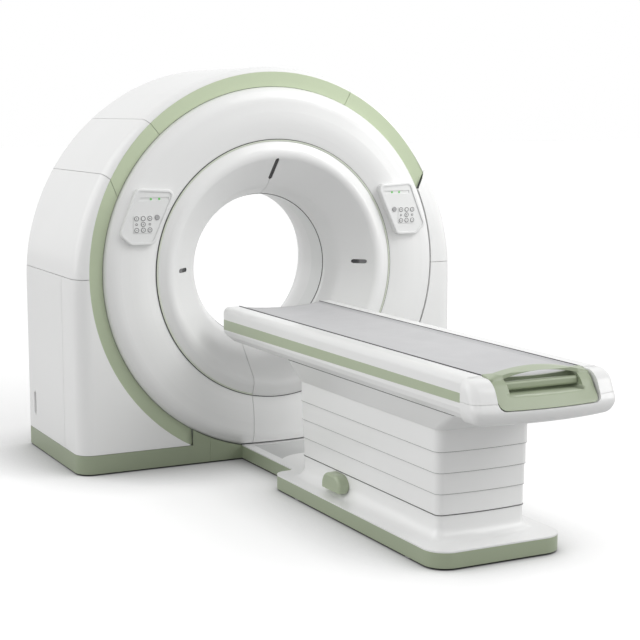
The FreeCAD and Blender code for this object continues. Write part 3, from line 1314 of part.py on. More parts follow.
# ---- table base ----
def base_prism(inset, z0, z1):
    half = BASE_HALF - inset
    rear, front = FRONT - BASE_REAR - inset, FRONT - BASE_FRONT + inset
    wide = box(-half, half, front, rear, z0, z1)
    bridge = box(-BRIDGE_HALF + inset, BRIDGE_HALF - inset, rear - BEYOND, FRONT - inset, z0, z1)
    solid = wide.fuse(bridge).removeSplitter()
    upright = upright_edges(solid, z0 + 1, z1 - 1)
    front_edges = [edge for edge in upright if edge.BoundBox.YMin < front + 1]
    solid = solid.makeFillet(BASE_FRONT_R - inset, front_edges)
    upright = upright_edges(solid, z0 + 1, z1 - 1)
    outer = [e for e in upright if abs(e.BoundBox.YMin - rear) < 1 and abs(e.BoundBox.XMin) > half - 1]
    solid = solid.makeFillet(BASE_REAR_R - inset, outer)
    upright = [e for e in upright_edges(solid, z0 + 1, z1 - 1) if abs(e.BoundBox.YMin - rear) < 1]
    inner = [e for e in upright if abs(e.BoundBox.XMin) < BRIDGE_HALF + 1]
    return solid.makeFillet(BRIDGE_INNER_R + inset, inner)


def table_plinth():
    wall = base_prism(0.0, PLINTH_BOTTOM, TABLE_PLINTH_TOP)
    inside = base_prism(PLINTH_WALL, PLINTH_BOTTOM - OVER, TABLE_PLINTH_TOP + OVER)
    return one_solid(wall.cut(inside))


def skirt_inset():
    return section_inset(3) + SKIRT_STEP


def table_base_cover():
    plate = base_prism(0.0, TABLE_PLINTH_TOP, BASE_TOP)
    skirt = pedestal_prism(skirt_inset(), TABLE_PLINTH_TOP, SKIRT_TOP)
    solid = plate.fuse(skirt)
    around = [e for e in edges_at_z(solid, BASE_TOP) if is_skirt_edge(e)]
    solid = solid.makeFillet(SKIRT_FILLET, around)
    hollow = pedestal_prism(skirt_inset() + SKIRT_T, TABLE_PLINTH_TOP - OVER, SKIRT_TOP + OVER)
    solid = solid.cut(hollow).cut(insert_prism(0.0, BASE_TOP - INSERT_DEPTH, BASE_TOP + OVER))
    stem_y = FRONT - PEDAL_Y
    half = PEDAL_STEM_R + PEDAL_STEM_GAP
    low, high = pedal_stem_z() - half - PEDAL_TRAVEL, pedal_stem_z() + half
    slot = box(-BASE_HALF, 0, stem_y - half, stem_y + half, low, high)
    return one_solid(solid.cut(slot))


def is_skirt_edge(edge):
    bounds = edge.BoundBox
    front, rear = FRONT - PEDESTAL_FRONT, FRONT - PEDESTAL_REAR
    along_x = max(abs(bounds.XMin), abs(bounds.XMax)) < PEDESTAL_HALF
    return along_x and bounds.YMin > front - 1 and bounds.YMax < rear + 1


def insert_prism(shrink, z0, z1):
    half = BRIDGE_HALF - INSERT_MARGIN - shrink
    rear = FRONT - RING_BULGE - INSERT_SETBACK - shrink
    rise = INSERT_CORNER - INSERT_APEX
    radius = ((half + shrink) ** 2 + rise ** 2) / (2 * rise)
    centre, radius = FRONT - INSERT_APEX - radius, radius + shrink
    apex, corner = centre + radius, centre + math.sqrt(radius ** 2 - half ** 2)
    curve = Part.Arc(V(-half, corner, z0), V(0, apex, z0), V(half, corner, z0)).toShape()
    corners = [V(half, corner, z0), V(half, rear, z0), V(-half, rear, z0), V(-half, corner, z0)]
    edges = [curve] + [Part.makeLine(a, b) for a, b in zip(corners[:-1], corners[1:])]
    return Part.Face(Part.Wire(edges)).extrude(V(0, 0, z1 - z0))


def dock_insert():
    bottom = BASE_TOP - INSERT_DEPTH
    return insert_prism(INSERT_GAP, bottom, bottom + INSERT_T)


def table_base_frame():
    frame = base_prism(PLINTH_WALL, FRAME_BOTTOM, TABLE_RAIL_TOP)
    half = BASE_HALF - PLINTH_WALL - TABLE_RAIL
    front, rear = FRONT - BASE_FRONT + TABLE_RAIL, FRONT - BASE_REAR - TABLE_RAIL
    tray = box(-half, half, front, rear, TABLE_FRAME_TOP, TABLE_RAIL_TOP + OVER)
    frame = frame.cut(tray)
    for x, y in table_rail_places(TABLE_ANCHOR_FROM_END):
        frame = frame.cut(rod_z(TABLE_ANCHOR_R, FRAME_BOTTOM - OVER, TABLE_RAIL_TOP + OVER, x, y))
    return one_solid(frame)


def pedal_stem_z():
    return PEDAL_BOTTOM + PEDAL_HEIGHT / 2


def foot_pedal():
    x1 = -PEDESTAL_HALF + skirt_inset() - PEDAL_BACK_GAP
    x0 = x1 - PEDAL_REACH
    y = FRONT - PEDAL_Y
    top = PEDAL_BOTTOM + PEDAL_HEIGHT
    solid = box(x0, x1, y - PEDAL_HALF, y + PEDAL_HALF, PEDAL_BOTTOM, top)
    corners = [e for e in edges_at_z(solid, top) if e.BoundBox.YLength < TINY]
    solid = solid.makeFillet(PEDAL_CORNER_R, corners)
    outer = [e for e in solid.Edges if e.BoundBox.XMax < x0 + TINY and e.BoundBox.ZMax > PEDAL_BOTTOM + 1]
    solid = solid.makeFillet(PEDAL_EDGE_R, outer)
    stem = rod_x(PEDAL_STEM_R, x1 - OVER, x1 + PEDAL_STEM_LENGTH, y, pedal_stem_z())
    return one_solid(solid.cut(skirt_sweep()).fuse(stem))


# the skirt's curved foot, raised by the pedal's travel
def skirt_sweep():
    x = -PEDESTAL_HALF + skirt_inset() - SKIRT_FILLET
    y0, y1 = FRONT - PEDAL_Y - 2 * PEDAL_HALF, FRONT - PEDAL_Y + 2 * PEDAL_HALF
    top = BASE_TOP + SKIRT_FILLET + PEDAL_TRAVEL
    hollow = Part.makeCylinder(SKIRT_FILLET - SKIRT_SWEEP_GAP, y1 - y0, V(x, y0, top), V(0, 1, 0))
    return box(x, x + SKIRT_FILLET + 1, y0, y1, BASE_TOP, top).cut(hollow)


# ---- all sub-parts ----
SINGLE = [gantry_plinth, front_ring_cover, dock_panel, front_funnel, laser_windows, trim_ring, scan_window]
SINGLE += [rear_funnel, status_lights, gantry_base_frame, levelling_feet, cover_frame, gantry_stand]
SINGLE += [bearing_outer_race, bearing_inner_race, rotor_drum, xray_tube, detector_arc, hv_generator]
SINGLE += [heat_exchanger, table_body, side_stripes, end_cap, cradle_board, cradle_pad, cradle_handle]
SINGLE += [release_lever, saddle, table_plinth, table_base_cover, dock_insert, table_base_frame, foot_pedal]
MIRRORED = [panel_housing, keypad, stop_button]
SECTIONS = ["section_upper", "section_middle", "section_lower", "section_fixed"]


def build():
    parts = {**gantry_covers(), **green_bands(), **lift_columns()}
    for level, name in enumerate(SECTIONS):
        parts[name] = section(level)
    for make in MIRRORED:
        parts[make.__name__ + "_right"] = make()
        parts[make.__name__ + "_left"] = mirror_x(parts[make.__name__ + "_right"])
    for make in SINGLE:
        parts[make.__name__] = make()
    return parts


os.makedirs("parts", exist_ok=True)
for name, shape in build().items():
    shape.exportStep("parts/" + name + ".step")
    print(name, len(shape.Solids), shape.isValid(), round(shape.Volume / 1e6, 3))
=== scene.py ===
import json
import math

import bmesh
import bpy
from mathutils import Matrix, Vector
from mathutils.geometry import convex_hull_2d


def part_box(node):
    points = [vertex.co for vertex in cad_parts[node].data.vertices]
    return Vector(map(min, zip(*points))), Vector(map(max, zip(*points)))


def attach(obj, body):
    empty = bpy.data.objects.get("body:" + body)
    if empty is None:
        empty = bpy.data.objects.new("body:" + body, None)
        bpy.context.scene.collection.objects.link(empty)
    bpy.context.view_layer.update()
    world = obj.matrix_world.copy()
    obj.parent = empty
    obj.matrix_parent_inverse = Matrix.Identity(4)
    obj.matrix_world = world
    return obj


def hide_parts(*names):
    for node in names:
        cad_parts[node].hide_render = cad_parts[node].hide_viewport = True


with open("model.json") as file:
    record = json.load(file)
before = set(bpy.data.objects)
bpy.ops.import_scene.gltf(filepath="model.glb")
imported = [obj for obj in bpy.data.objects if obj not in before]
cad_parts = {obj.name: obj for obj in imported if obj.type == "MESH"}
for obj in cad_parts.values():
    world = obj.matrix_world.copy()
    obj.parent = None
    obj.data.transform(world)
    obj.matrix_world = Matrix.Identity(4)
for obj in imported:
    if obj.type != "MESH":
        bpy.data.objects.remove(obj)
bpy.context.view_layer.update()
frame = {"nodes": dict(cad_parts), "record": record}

# ---- places that several pieces share, in metres ----
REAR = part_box("rear_cover")[1][1]
GANTRY_DEPTH = 0.820
FRONT = REAR - GANTRY_DEPTH
BORE_Z = 0.907


# ---- node trees ----
def rgba(color):
    """A plain colour as an opaque one; a socket stays as it is."""
    return (*color, 1.0) if isinstance(color, tuple) else color


def scaled(color, factor):
    return tuple(min(1.0, channel * factor) for channel in color)


class Graph:
    """The node tree of a material or world, with short calls for the nodes that several trees use."""

    MIX_FACTOR, MIX_A, MIX_B = 0, 6, 7
    MIX_RESULT = 2

    def __init__(self, owner):
        owner.use_nodes = True
        self.tree = owner.node_tree

    def node(self, kind):
        return self.tree.nodes.new("ShaderNode" + kind)

    def feed(self, socket, value):
        """Links value to the socket if it is a socket itself, and otherwise writes it there."""
        if isinstance(value, bpy.types.NodeSocket):
            self.tree.links.new(value, socket)
        else:
            socket.default_value = value

    def calculate(self, operation, a, b=0.0):
        node = self.node("Math")
        node.operation = operation
        self.feed(node.inputs[0], a)
        self.feed(node.inputs[1], b)
        return node.outputs[0]

    def mix(self, factor, a, b):
        """Colour a where the factor is 0 and b where it is 1."""
        node = self.node("Mix")
        node.data_type = "RGBA"
        self.feed(node.inputs[self.MIX_FACTOR], factor)
        self.feed(node.inputs[self.MIX_A], rgba(a))
        self.feed(node.inputs[self.MIX_B], rgba(b))
        return node.outputs[self.MIX_RESULT]

    def spread(self, source, low, high, at=(0.0, 1.0)):
        """low where the source is at the first value of at, high where it is at the second."""
        node = self.node("MapRange")
        node.interpolation_type = "SMOOTHSTEP"
        node.inputs["From Min"].default_value, node.inputs["From Max"].default_value = at
        node.inputs["To Min"].default_value, node.inputs["To Max"].default_value = low, high
        self.feed(node.inputs["Value"], source)
        return node.outputs["Result"]


FINISHES = {}


class Finish(Graph):
    """A material with one Principled shader. Noise scales are per metre and heights in metres."""

    NOISE_RANGE = (0.3, 0.7)
    BEVEL_SAMPLES = 4
    EDGE_COSINES = (0.80, 0.985)

    def __init__(self, name):
        material = bpy.data.materials.new(name)
        super().__init__(material)
        self.shader = self.tree.nodes["Principled BSDF"]
        self.place = self.node("TexCoord").outputs["Object"]
        FINISHES[name] = material

    def shade(self, socket, value):
        self.feed(self.shader.inputs[socket], value)

    def axis(self, letter):
        """The coordinate along X, Y or Z."""
        axes = self.node("SeparateXYZ")
        self.feed(axes.inputs[0], self.place)
        return axes.outputs[letter]

    def noise(self, scale, detail=3.0, stretch=None):
        source = self.place
        if stretch is not None:
            mapping = self.node("Mapping")
            mapping.inputs["Scale"].default_value = stretch
            self.feed(mapping.inputs["Vector"], self.place)
            source = mapping.outputs["Vector"]
        node = self.node("TexNoise")
        node.inputs["Scale"].default_value = scale
        node.inputs["Detail"].default_value = detail
        self.feed(node.inputs["Vector"], source)
        return node.outputs["Fac"]

    def patches(self, low, high, scale, detail=3.0):
        """Soft-edged patches between two values."""
        return self.spread(self.noise(scale, detail), low, high, self.NOISE_RANGE)

    def toned(self, color, low, high, scale, detail=3.0):
        """A colour in soft-edged patches, from low to high times as bright."""
        return self.mix(self.patches(0.0, 1.0, scale, detail), scaled(color, low), scaled(color, high))

    def bump(self, height, distance, strength, normal=None):
        node = self.node("Bump")
        node.inputs["Distance"].default_value = distance
        node.inputs["Strength"].default_value = strength
        self.feed(node.inputs["Height"], height)
        if normal is not None:
            self.feed(node.inputs["Normal"], normal)
        return node.outputs["Normal"]

    def soft_edges(self, radius):
        node = self.node("Bevel")
        node.samples = self.BEVEL_SAMPLES
        node.inputs["Radius"].default_value = radius
        return node.outputs["Normal"]

    def edge_mask(self, rounded):
        """1 on an edge and 0 on an open face, by how far the rounded normal leaves the true one."""
        dot = self.node("VectorMath")
        dot.operation = "DOT_PRODUCT"
        self.feed(dot.inputs[0], rounded)
        self.feed(dot.inputs[1], self.node("NewGeometry").outputs["Normal"])
        return self.spread(dot.outputs["Value"], 1.0, 0.0, self.EDGE_COSINES)


# ---- finishes ----
SHELL_EDGE_R, SMALL_EDGE_R = 0.0016, 0.0012
SHELL_COAT_ROUGH, LENS_COAT_ROUGH = 0.08, 0.05
RUBBED = 0.72
# heights over which the painted highlight grows from none to full
PAINTED_HIGHLIGHT_HEIGHTS = (0.5, 1.9)
FINE_GRAIN, CAST_GRAIN = (900.0, 0.000006), (420.0, 0.0002)
PEEL_HEIGHT, PEBBLE_HEIGHT, CREASE_HEIGHT, BRUSH_HEIGHT = 0.00003, 0.0003, 0.0003, 0.00005


def moulded(name, color, rough, coat=0.0, grain=FINE_GRAIN, patch=0.006, wear=0.12, painted_highlight=1.0):
    """Painted or moulded shell: faint tone patches, fine grain, uneven gloss, rubbed edges.

    grain is the grain's scale and height. The last argument is how much paler the colour is painted at the
    object's top than low down, a painted highlight; it is there to match the photograph's tones."""
    finish = Finish(name)
    tone = finish.toned(color, 1.0 - patch, 1.0 + patch, scale=2.3, detail=2.0)
    # painted highlight: the colour turns paler towards the object's top
    if painted_highlight != 1.0:
        tone = finish.mix(finish.spread(finish.axis("Z"), 0.0, 1.0, PAINTED_HIGHLIGHT_HEIGHTS), tone, scaled(color, painted_highlight))
    rounded = finish.soft_edges(SHELL_EDGE_R)
    rubbed = finish.calculate("MULTIPLY", finish.edge_mask(rounded), finish.patches(0.0, wear, scale=35.0))
    finish.shade("Base Color", finish.mix(rubbed, tone, scaled(color, RUBBED)))
    finish.shade("Roughness", finish.patches(rough * 0.9, rough * 1.1, scale=2.6, detail=1.0))
    finish.shade("Coat Weight", coat)
    finish.shade("Coat Roughness", SHELL_COAT_ROUGH)
    peel = finish.bump(finish.noise(scale=38.0, detail=2.0), PEEL_HEIGHT, strength=0.35, normal=rounded)
    grain_scale, grain_height = grain
    finish.shade("Normal", finish.bump(finish.noise(grain_scale), grain_height, strength=0.5, normal=peel))


def vinyl(name, color):
    """Pad cover: pebbled grain, shallow creases and a soft sheen."""
    finish = Finish(name)
    finish.shade("Base Color", finish.toned(color, 0.98, 1.02, scale=4.0))
    finish.shade("Roughness", finish.patches(0.46, 0.54, scale=11.0, detail=2.0))
    finish.shade("Sheen Weight", 0.08)
    creased = finish.noise(scale=26.0, detail=2.0, stretch=(1.0, 0.35, 1.0))
    creases = finish.bump(creased, CREASE_HEIGHT, strength=0.2)
    pebbles = finish.node("TexVoronoi")
    pebbles.inputs["Scale"].default_value = 420.0
    finish.feed(pebbles.inputs["Vector"], finish.place)
    pebbled = finish.bump(pebbles.outputs["Distance"], PEBBLE_HEIGHT, strength=0.5, normal=creases)
    finish.shade("Normal", pebbled)


def metal(name, color, rough, stretch=(1.0, 60.0, 1.0), metallic=1.0):
    """Machined metal: faint tone patches, and brushed lines in its gloss and height.

    stretch is how much faster the lines change along each axis than the plain noise."""
    finish = Finish(name)
    finish.shade("Metallic", metallic)
    finish.shade("Base Color", finish.toned(color, 0.9, 1.06, scale=6.0, detail=4.0))
    lines = finish.noise(scale=90.0, stretch=stretch)
    finish.shade("Roughness", finish.spread(lines, rough * 0.75, rough * 1.3, finish.NOISE_RANGE))
    rounded = finish.soft_edges(SMALL_EDGE_R)
    finish.shade("Normal", finish.bump(lines, BRUSH_HEIGHT, strength=0.4, normal=rounded))


def laser_lens(name, dark, painted_reflection, outer_at):
    """Positioning lasers' windows: dark glass, with a painted reflection and rougher gloss further out to the
    sides.

    The last argument is how far from the middle, along X, the painted reflection and rougher gloss begin and
    are complete."""
    finish = Finish(name)
    outer = finish.spread(finish.calculate("ABSOLUTE", finish.axis("X")), 0.0, 1.0, outer_at)
    clear_tone = finish.toned(dark, 1.0, 1.3, scale=320.0)
    # painted reflection: the outer part of the window is coloured paler
    painted_reflection_tone = finish.toned(painted_reflection, 1.0, 1.2, scale=320.0)
    finish.shade("Base Color", finish.mix(outer, clear_tone, painted_reflection_tone))
    finish.shade("Roughness", finish.spread(outer, 0.10, 0.34))
    finish.shade("Coat Weight", 0.6)
    finish.shade("Coat Roughness", LENS_COAT_ROUGH)
    finish.shade("Normal", finish.soft_edges(SMALL_EDGE_R))


def lamp_lens(name, color, glow):
    """Status light: a smooth dome with a fine grain that glows in its own colour."""
    finish = Finish(name)
    tone = finish.toned(color, 0.85, 1.1, scale=900.0)
    finish.shade("Base Color", tone)
    finish.shade("Roughness", 0.12)
    finish.shade("Emission Color", tone)
    finish.shade("Emission Strength", glow)


WHITE = (0.835, 0.838, 0.832)
GREEN = (0.455, 0.522, 0.365)

moulded("shell_white", WHITE, rough=0.31, coat=0.35)
moulded("pedestal_white", WHITE, rough=0.32, coat=0.3)
moulded("panel_white", (0.79, 0.795, 0.79), rough=0.32, coat=0.2)
moulded("window_clear", (0.78, 0.79, 0.78), rough=0.32, coat=0.3)
moulded("trim_cream", (0.62, 0.66, 0.56), rough=0.36)
# sage_green carries a painted highlight that makes it paler towards the top
moulded("sage_green", scaled(GREEN, 0.90), rough=0.34, coat=0.15, wear=0.25, painted_highlight=1.42)
# sage_handle, sage_table and sage_base are darker copies of the same green: painted shade for the parts they
# go on
moulded("sage_handle", scaled(GREEN, 0.80), rough=0.34, coat=0.15, wear=0.25)
moulded("sage_table", scaled(GREEN, 0.76), rough=0.38, coat=0.10, wear=0.25)
moulded("sage_base", scaled(GREEN, 0.68), rough=0.38, coat=0.10, wear=0.25)
moulded("key_grey", (0.77, 0.775, 0.77), rough=0.48, grain=(1400.0, 0.00001))
moulded("key_mark", (0.12, 0.12, 0.125), rough=0.5)
moulded("stop_grey", (0.50, 0.50, 0.505), rough=0.36, coat=0.2)
moulded("insert_grey", (0.54, 0.545, 0.54), rough=0.6, grain=(180.0, 0.0003), patch=0.08)
moulded("board_black", (0.055, 0.055, 0.06), rough=0.42, grain=(260.0, 0.00008), patch=0.04)
moulded("seam_dark", (0.05, 0.052, 0.05), rough=0.7)
moulded("seam_grey", (0.30, 0.305, 0.30), rough=0.7)
moulded("frame_steel", (0.30, 0.31, 0.32), rough=0.5, grain=CAST_GRAIN)
moulded("tube_housing", (0.52, 0.53, 0.55), rough=0.42, grain=CAST_GRAIN)
metal("foot_steel", (0.56, 0.56, 0.57), rough=0.42)
metal("bearing_steel", (0.60, 0.60, 0.62), rough=0.22)
metal("rotor_alloy", (0.68, 0.69, 0.70), rough=0.38)
metal("detector_black", (0.12, 0.12, 0.13), rough=0.42, metallic=0.6)
metal("column_steel", (0.62, 0.63, 0.64), rough=0.28, stretch=(1.0, 1.0, 0.02))
vinyl("pad_grey", (0.53, 0.53, 0.54))
laser_lens("lens_dark", (0.018, 0.018, 0.020), (0.15, 0.15, 0.152), outer_at=(0.456, 0.474))
lamp_lens("light_green", (0.14, 0.46, 0.12), glow=0.35)

# these parts take the darker copies of the sage green, painted shade
NODE_FINISHES = {
    "gantry_plinth": "sage_base",
    "table_plinth": "sage_table",
    "foot_pedal": "sage_handle",
    "release_lever": "sage_handle",
}
for part in frame["record"]["subparts"]:
    node = part["node"]
    materials = frame["nodes"][node].data.materials
    materials.clear()
    materials.append(FINISHES[NODE_FINISHES.get(node, part["material_slot"])])


# ---- making pieces ----
WELD = 0.00001


def shown(name, data):
    """An object of that name in the scene, which holds the data."""
    obj = bpy.data.objects.new(name, data)
    bpy.context.scene.collection.objects.link(obj)
    return obj


def piece(name, mesh, slot, body, finish=None):
    """A smooth-shaded piece of the model on a body, with the slot's finish or another one."""
    obj = shown(name, mesh)
    mesh.materials.append(FINISHES[finish or slot])
    for polygon in mesh.polygons:
        polygon.use_smooth = True
    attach(obj, body)
    return obj


def finished(mesh, name):
    """Mesh data with outward faces; the bmesh is used up."""
    bmesh.ops.recalc_face_normals(mesh, faces=mesh.faces)
    data = bpy.data.meshes.new(name)
    mesh.to_mesh(data)
    mesh.free()
    return data


def join_rows(mesh, rows, closed=False, round_points=False):
    """Quads between rows of points. If closed, they also join the last row to the first, and if
    round_points, each row's last point to its first."""
    following = rows[1:] + rows[:1] if closed else rows[1:]
    for a, b in zip(rows, following):
        for index in range(len(a) if round_points else len(a) - 1):
            after = (index + 1) % len(a)
            mesh.faces.new((a[index], a[after], b[after], b[index]))


def prism(outline, y0, y1):
    """A closed bar from y0 to y1, with an outline of (x, z) points."""
    mesh = bmesh.new()
    ends = [[mesh.verts.new((x, y, z)) for x, z in outline] for y in (y0, y1)]
    join_rows(mesh, ends, round_points=True)
    for end in ends:
        mesh.faces.new(end)
    return mesh


RING_PROFILE = [(-0.5, 0.0), (-0.36, 0.8), (0.0, 1.0), (0.36, 0.8), (0.5, 0.0)]


def ring(mesh, x, y, z, radius, width, proud, segments):
    """A rounded ring, for key marks and the painted-shade rings in joints, that stands proud of the face at y
    towards the viewer.
    """
    rows = []
    for step in range(segments):
        turn = math.tau * step / segments
        row = []
        for across, rise in RING_PROFILE:
            reach = radius + across * width
            point = (x + reach * math.cos(turn), y - rise * proud, z + reach * math.sin(turn))
            row.append(mesh.verts.new(point))
        rows.append(row)
    join_rows(mesh, rows, closed=True)


# ---- marks on the keys ----
PANEL_X, PANEL_Z = 0.658, BORE_Z + 0.272
KEY_X, KEY_Z = PANEL_X + 0.027, PANEL_Z - 0.033
KEY_STEP_X, KEY_STEP_Z = 0.0315, 0.026
KEY_R, SMALL_KEY_R = 0.011, 0.0055
KEY_RING_INSET = 0.0013
KEY_RING_WIDTH, SMALL_KEY_RING_WIDTH = 0.0029, 0.0024
STOP_X, STOP_Z = PANEL_X - 0.041, PANEL_Z - 0.004
STOP_R, STOP_RIM_INSET, STOP_RIM_WIDTH = 0.012, 0.0028, 0.0016
STOP_MIDDLE_R, STOP_MIDDLE_WIDTH = 0.0036, 0.0014
MARK_PROUD = 0.0004
MARK_SEGMENTS, DISC_SEGMENTS = 40, 24
ARROW_BASE, ARROW_TIP = -0.55, 0.9
PLATE_RIMS = [(1.0, 0.0), (0.94, 0.8), (0.80, 1.0)]


def plate(mesh, outline, x, y, z):
    """A small printed shape: its outline, closed, with a bevelled rim."""
    rims = []
    for size, rise in PLATE_RIMS:
        rims.append([mesh.verts.new((x + size * u, y - rise * MARK_PROUD, z + size * v)) for u, v in outline])
    join_rows(mesh, rims, round_points=True)
    mesh.faces.new(rims[-1])


def disc(radius):
    turns = [math.tau * step / DISC_SEGMENTS for step in range(DISC_SEGMENTS)]
    return [(radius * math.cos(turn), radius * math.sin(turn)) for turn in turns]


def bar(half_width, half_height):
    corners = [(-1, -1), (1, -1), (1, 1), (-1, 1)]
    return [(u * half_width, v * half_height) for u, v in corners]


def arrow(size):
    """A triangle that points up, or down if the size is negative."""
    return [(-size, ARROW_BASE * size), (size, ARROW_BASE * size), (0.0, ARROW_TIP * size)]


KEY_SHAPES = {
    (-1, 1): arrow(0.0042),
    (1, 1): bar(0.0011, 0.0040),
    (0, 0): disc(0.0030),
    (-1, -1): arrow(-0.0042),
    (0, -1): bar(0.0036, 0.0011),
    (1, -1): disc(0.0022),
}


def key_marks(name, side):
    """Rings round the keys of one keypad, with plain shapes in some, mirrored with the keypad."""
    mesh = bmesh.new()
    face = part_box("keypad_left" if side < 0 else "keypad_right")[0][1]
    for column in (-1, 0, 1):
        for row in (-1, 0, 1):
            small = row == 0 and column != 0
            x, z = side * (KEY_X + column * KEY_STEP_X), KEY_Z + row * KEY_STEP_Z
            radius = (SMALL_KEY_R if small else KEY_R) - KEY_RING_INSET
            width = SMALL_KEY_RING_WIDTH if small else KEY_RING_WIDTH
            ring(mesh, x, face, z, radius, width, MARK_PROUD, MARK_SEGMENTS)
            if (column, row) in KEY_SHAPES:
                plate(mesh, KEY_SHAPES[(column, row)], x, face, z)
    return finished(mesh, name)


def stop_marks(name, side):
    """The stop button's printed rim and its middle ring."""
    mesh = bmesh.new()
    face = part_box("stop_button_left" if side < 0 else "stop_button_right")[0][1]
    for radius, width in ((STOP_R - STOP_RIM_INSET, STOP_RIM_WIDTH), (STOP_MIDDLE_R, STOP_MIDDLE_WIDTH)):
        ring(mesh, side * STOP_X, face, STOP_Z, radius, width, MARK_PROUD, MARK_SEGMENTS)
    return finished(mesh, name)


for side, end in ((-1, "left"), (1, "right")):
    name = "key_marks_" + end
    piece(name, key_marks(name, side), "stop_grey", "gantry", "key_mark")
    name = "stop_marks_" + end
    piece(name, stop_marks(name, side), "stop_grey", "stop_" + end, "key_mark")


# ---- dark strips in the joints: painted shade ----
BORE_SHADE_LINE_R = 0.3505
TRIM_SHADE_LINE_MARGIN, TRIM_SHADE_LINE_INSET = 0.0015, 0.004
ROUND_SHADE_LINE_SEGMENTS = 240
LIP_PROFILE = [(0.0, -0.4), (0.12, 0.7), (0.5, 1.0), (0.88, 0.7), (1.0, -0.4)]
SKIRT_SHADE_LINE_DROP = 0.0005
SADDLE_SHADE_LINE_HEIGHT = 0.0026
LEVEL_TOLERANCE = 1e-5


def round_shade_line(name, radius, y, width, proud):
    """A dark ring round the bore's axis in the gap between two skins: painted shade for the gap."""
    mesh = bmesh.new()
    ring(mesh, 0.0, y, BORE_Z, radius, width, proud, ROUND_SHADE_LINE_SEGMENTS)
    piece(name, finished(mesh, name), "board_black", "gantry", "seam_dark")


def rim_outline(node, upper=False):
    """The outer outline of a node's lowest or highest face, which is convex here, counterclockwise."""
    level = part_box(node)[1 if upper else 0].z
    points = [vertex.co for vertex in frame["nodes"][node].data.vertices]
    rim = [point.to_2d() for point in points if abs(point.z - level) < LEVEL_TOLERANCE]
    outline = [rim[index] for index in convex_hull_2d(rim)]
    area = sum(a.x * b.y - b.x * a.y for a, b in zip(outline, outline[1:] + outline[:1]))
    return outline if area > 0 else outline[::-1]


def lip_shade_line(name, outline, low, height, proud, body, finish="seam_dark"):
    """A dark strip round the outside of a convex casing, from the height low upwards: painted shade for the
    joint.
    """
    mesh = bmesh.new()
    rows = []
    for before, point, after in zip(outline[-1:] + outline[:-1], outline, outline[1:] + outline[:1]):
        along = (point - before).normalized() + (after - point).normalized()
        out = Vector((along.y, -along.x)).normalized() * proud
        row = []
        for share, reach in LIP_PROFILE:
            row.append(mesh.verts.new((*(point + out * reach), low + share * height)))
        rows.append(row)
    join_rows(mesh, rows, closed=True)
    piece(name, finished(mesh, name), "board_black", body, finish)


# painted shade: dark rings in the gaps round the trim ring and the scan window
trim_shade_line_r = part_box("trim_ring")[1].x + TRIM_SHADE_LINE_MARGIN
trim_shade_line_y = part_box("trim_ring")[0].y + TRIM_SHADE_LINE_INSET
round_shade_line("trim_shade_line", trim_shade_line_r, trim_shade_line_y, width=0.0036, proud=0.003)
round_shade_line("bore_shade_line", BORE_SHADE_LINE_R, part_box("scan_window")[0].y, width=0.007, proud=0.0015)
# painted shade: grey strips under the lips of the pedestal's sections
for level in ("upper", "middle", "lower"):
    node = "section_" + level
    name, body, low = level + "_shade_line", node + "_body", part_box(node)[0].z
    lip_shade_line(name, rim_outline(node), low, height=0.0020, proud=0.0007, body=body, finish="seam_grey")
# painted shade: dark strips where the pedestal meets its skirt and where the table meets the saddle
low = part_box("section_fixed")[0].z - SKIRT_SHADE_LINE_DROP
lip_shade_line("skirt_shade_line", rim_outline("section_fixed"), low, height=0.0036, proud=0.0022, body="gantry")
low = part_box("saddle")[1].z - SADDLE_SHADE_LINE_HEIGHT
outline = rim_outline("saddle", upper=True)
lip_shade_line("saddle_shade_line", outline, low, SADDLE_SHADE_LINE_HEIGHT, proud=0.0012, body="table_top")


# ---- edging on the cradle ----
PAD_END_GAP = 0.001
EDGING_GAP, EDGING_WIDTH = 0.0004, 0.0040
EDGING_DEPTH, EDGING_RISE = 0.006, 0.0054
EDGING_SHOULDER, EDGING_BROW, EDGING_BROW_DROP = 0.0012, 0.0008, 0.0003


def edging(name, side):
    """A dark strip that stands in the slit between the cradle and the table, over the pad's length: partly
    the board's own black, partly painted shade for the slit.
    """
    low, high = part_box("cradle_pad")
    inner = high.x + EDGING_GAP
    outer = inner + EDGING_WIDTH
    foot, top = high.z - EDGING_DEPTH, high.z + EDGING_RISE
    shoulder, brow = top - EDGING_SHOULDER, top - EDGING_BROW_DROP
    profile = [(inner, foot), (inner, shoulder), (inner + EDGING_BROW, brow), ((inner + outer) / 2, top)]
    profile += [(outer - EDGING_BROW, brow), (outer, shoulder), (outer, foot)]
    mesh = prism([(side * x, z) for x, z in profile], low.y + PAD_END_GAP, high.y - PAD_END_GAP)
    piece(name, finished(mesh, name), "board_black", "cradle")


# the strips show the board's own black and painted shade for the slit
edging("edging_left", -1)
edging("edging_right", 1)


# ---- the pull handle's opening ----
OPENING_HALF, OPENING_STEPS = 0.145, 24
OPENING_DIP, OPENING_RISE = 0.0125, 0.0125
HANDLE_WALL, CUT_OVERRUN = 0.014, 0.003
HANDLE_WELD = 0.000002
HANDLE_SHARP = math.radians(32.0)


def cut_away(name, blank, cutter):
    """A mesh of what the blank keeps outside the cutter."""
    body, tool = shown("blank", blank), shown("cutter", cutter)
    cut = body.modifiers.new("opening", "BOOLEAN")
    cut.operation, cut.solver, cut.object = "DIFFERENCE", "EXACT", tool
    bpy.context.view_layer.update()
    shape = body.evaluated_get(bpy.context.evaluated_depsgraph_get())
    data = bpy.data.meshes.new_from_object(shape)
    data.name = name
    for obj in (tool, body):
        bpy.data.objects.remove(obj)
    return data


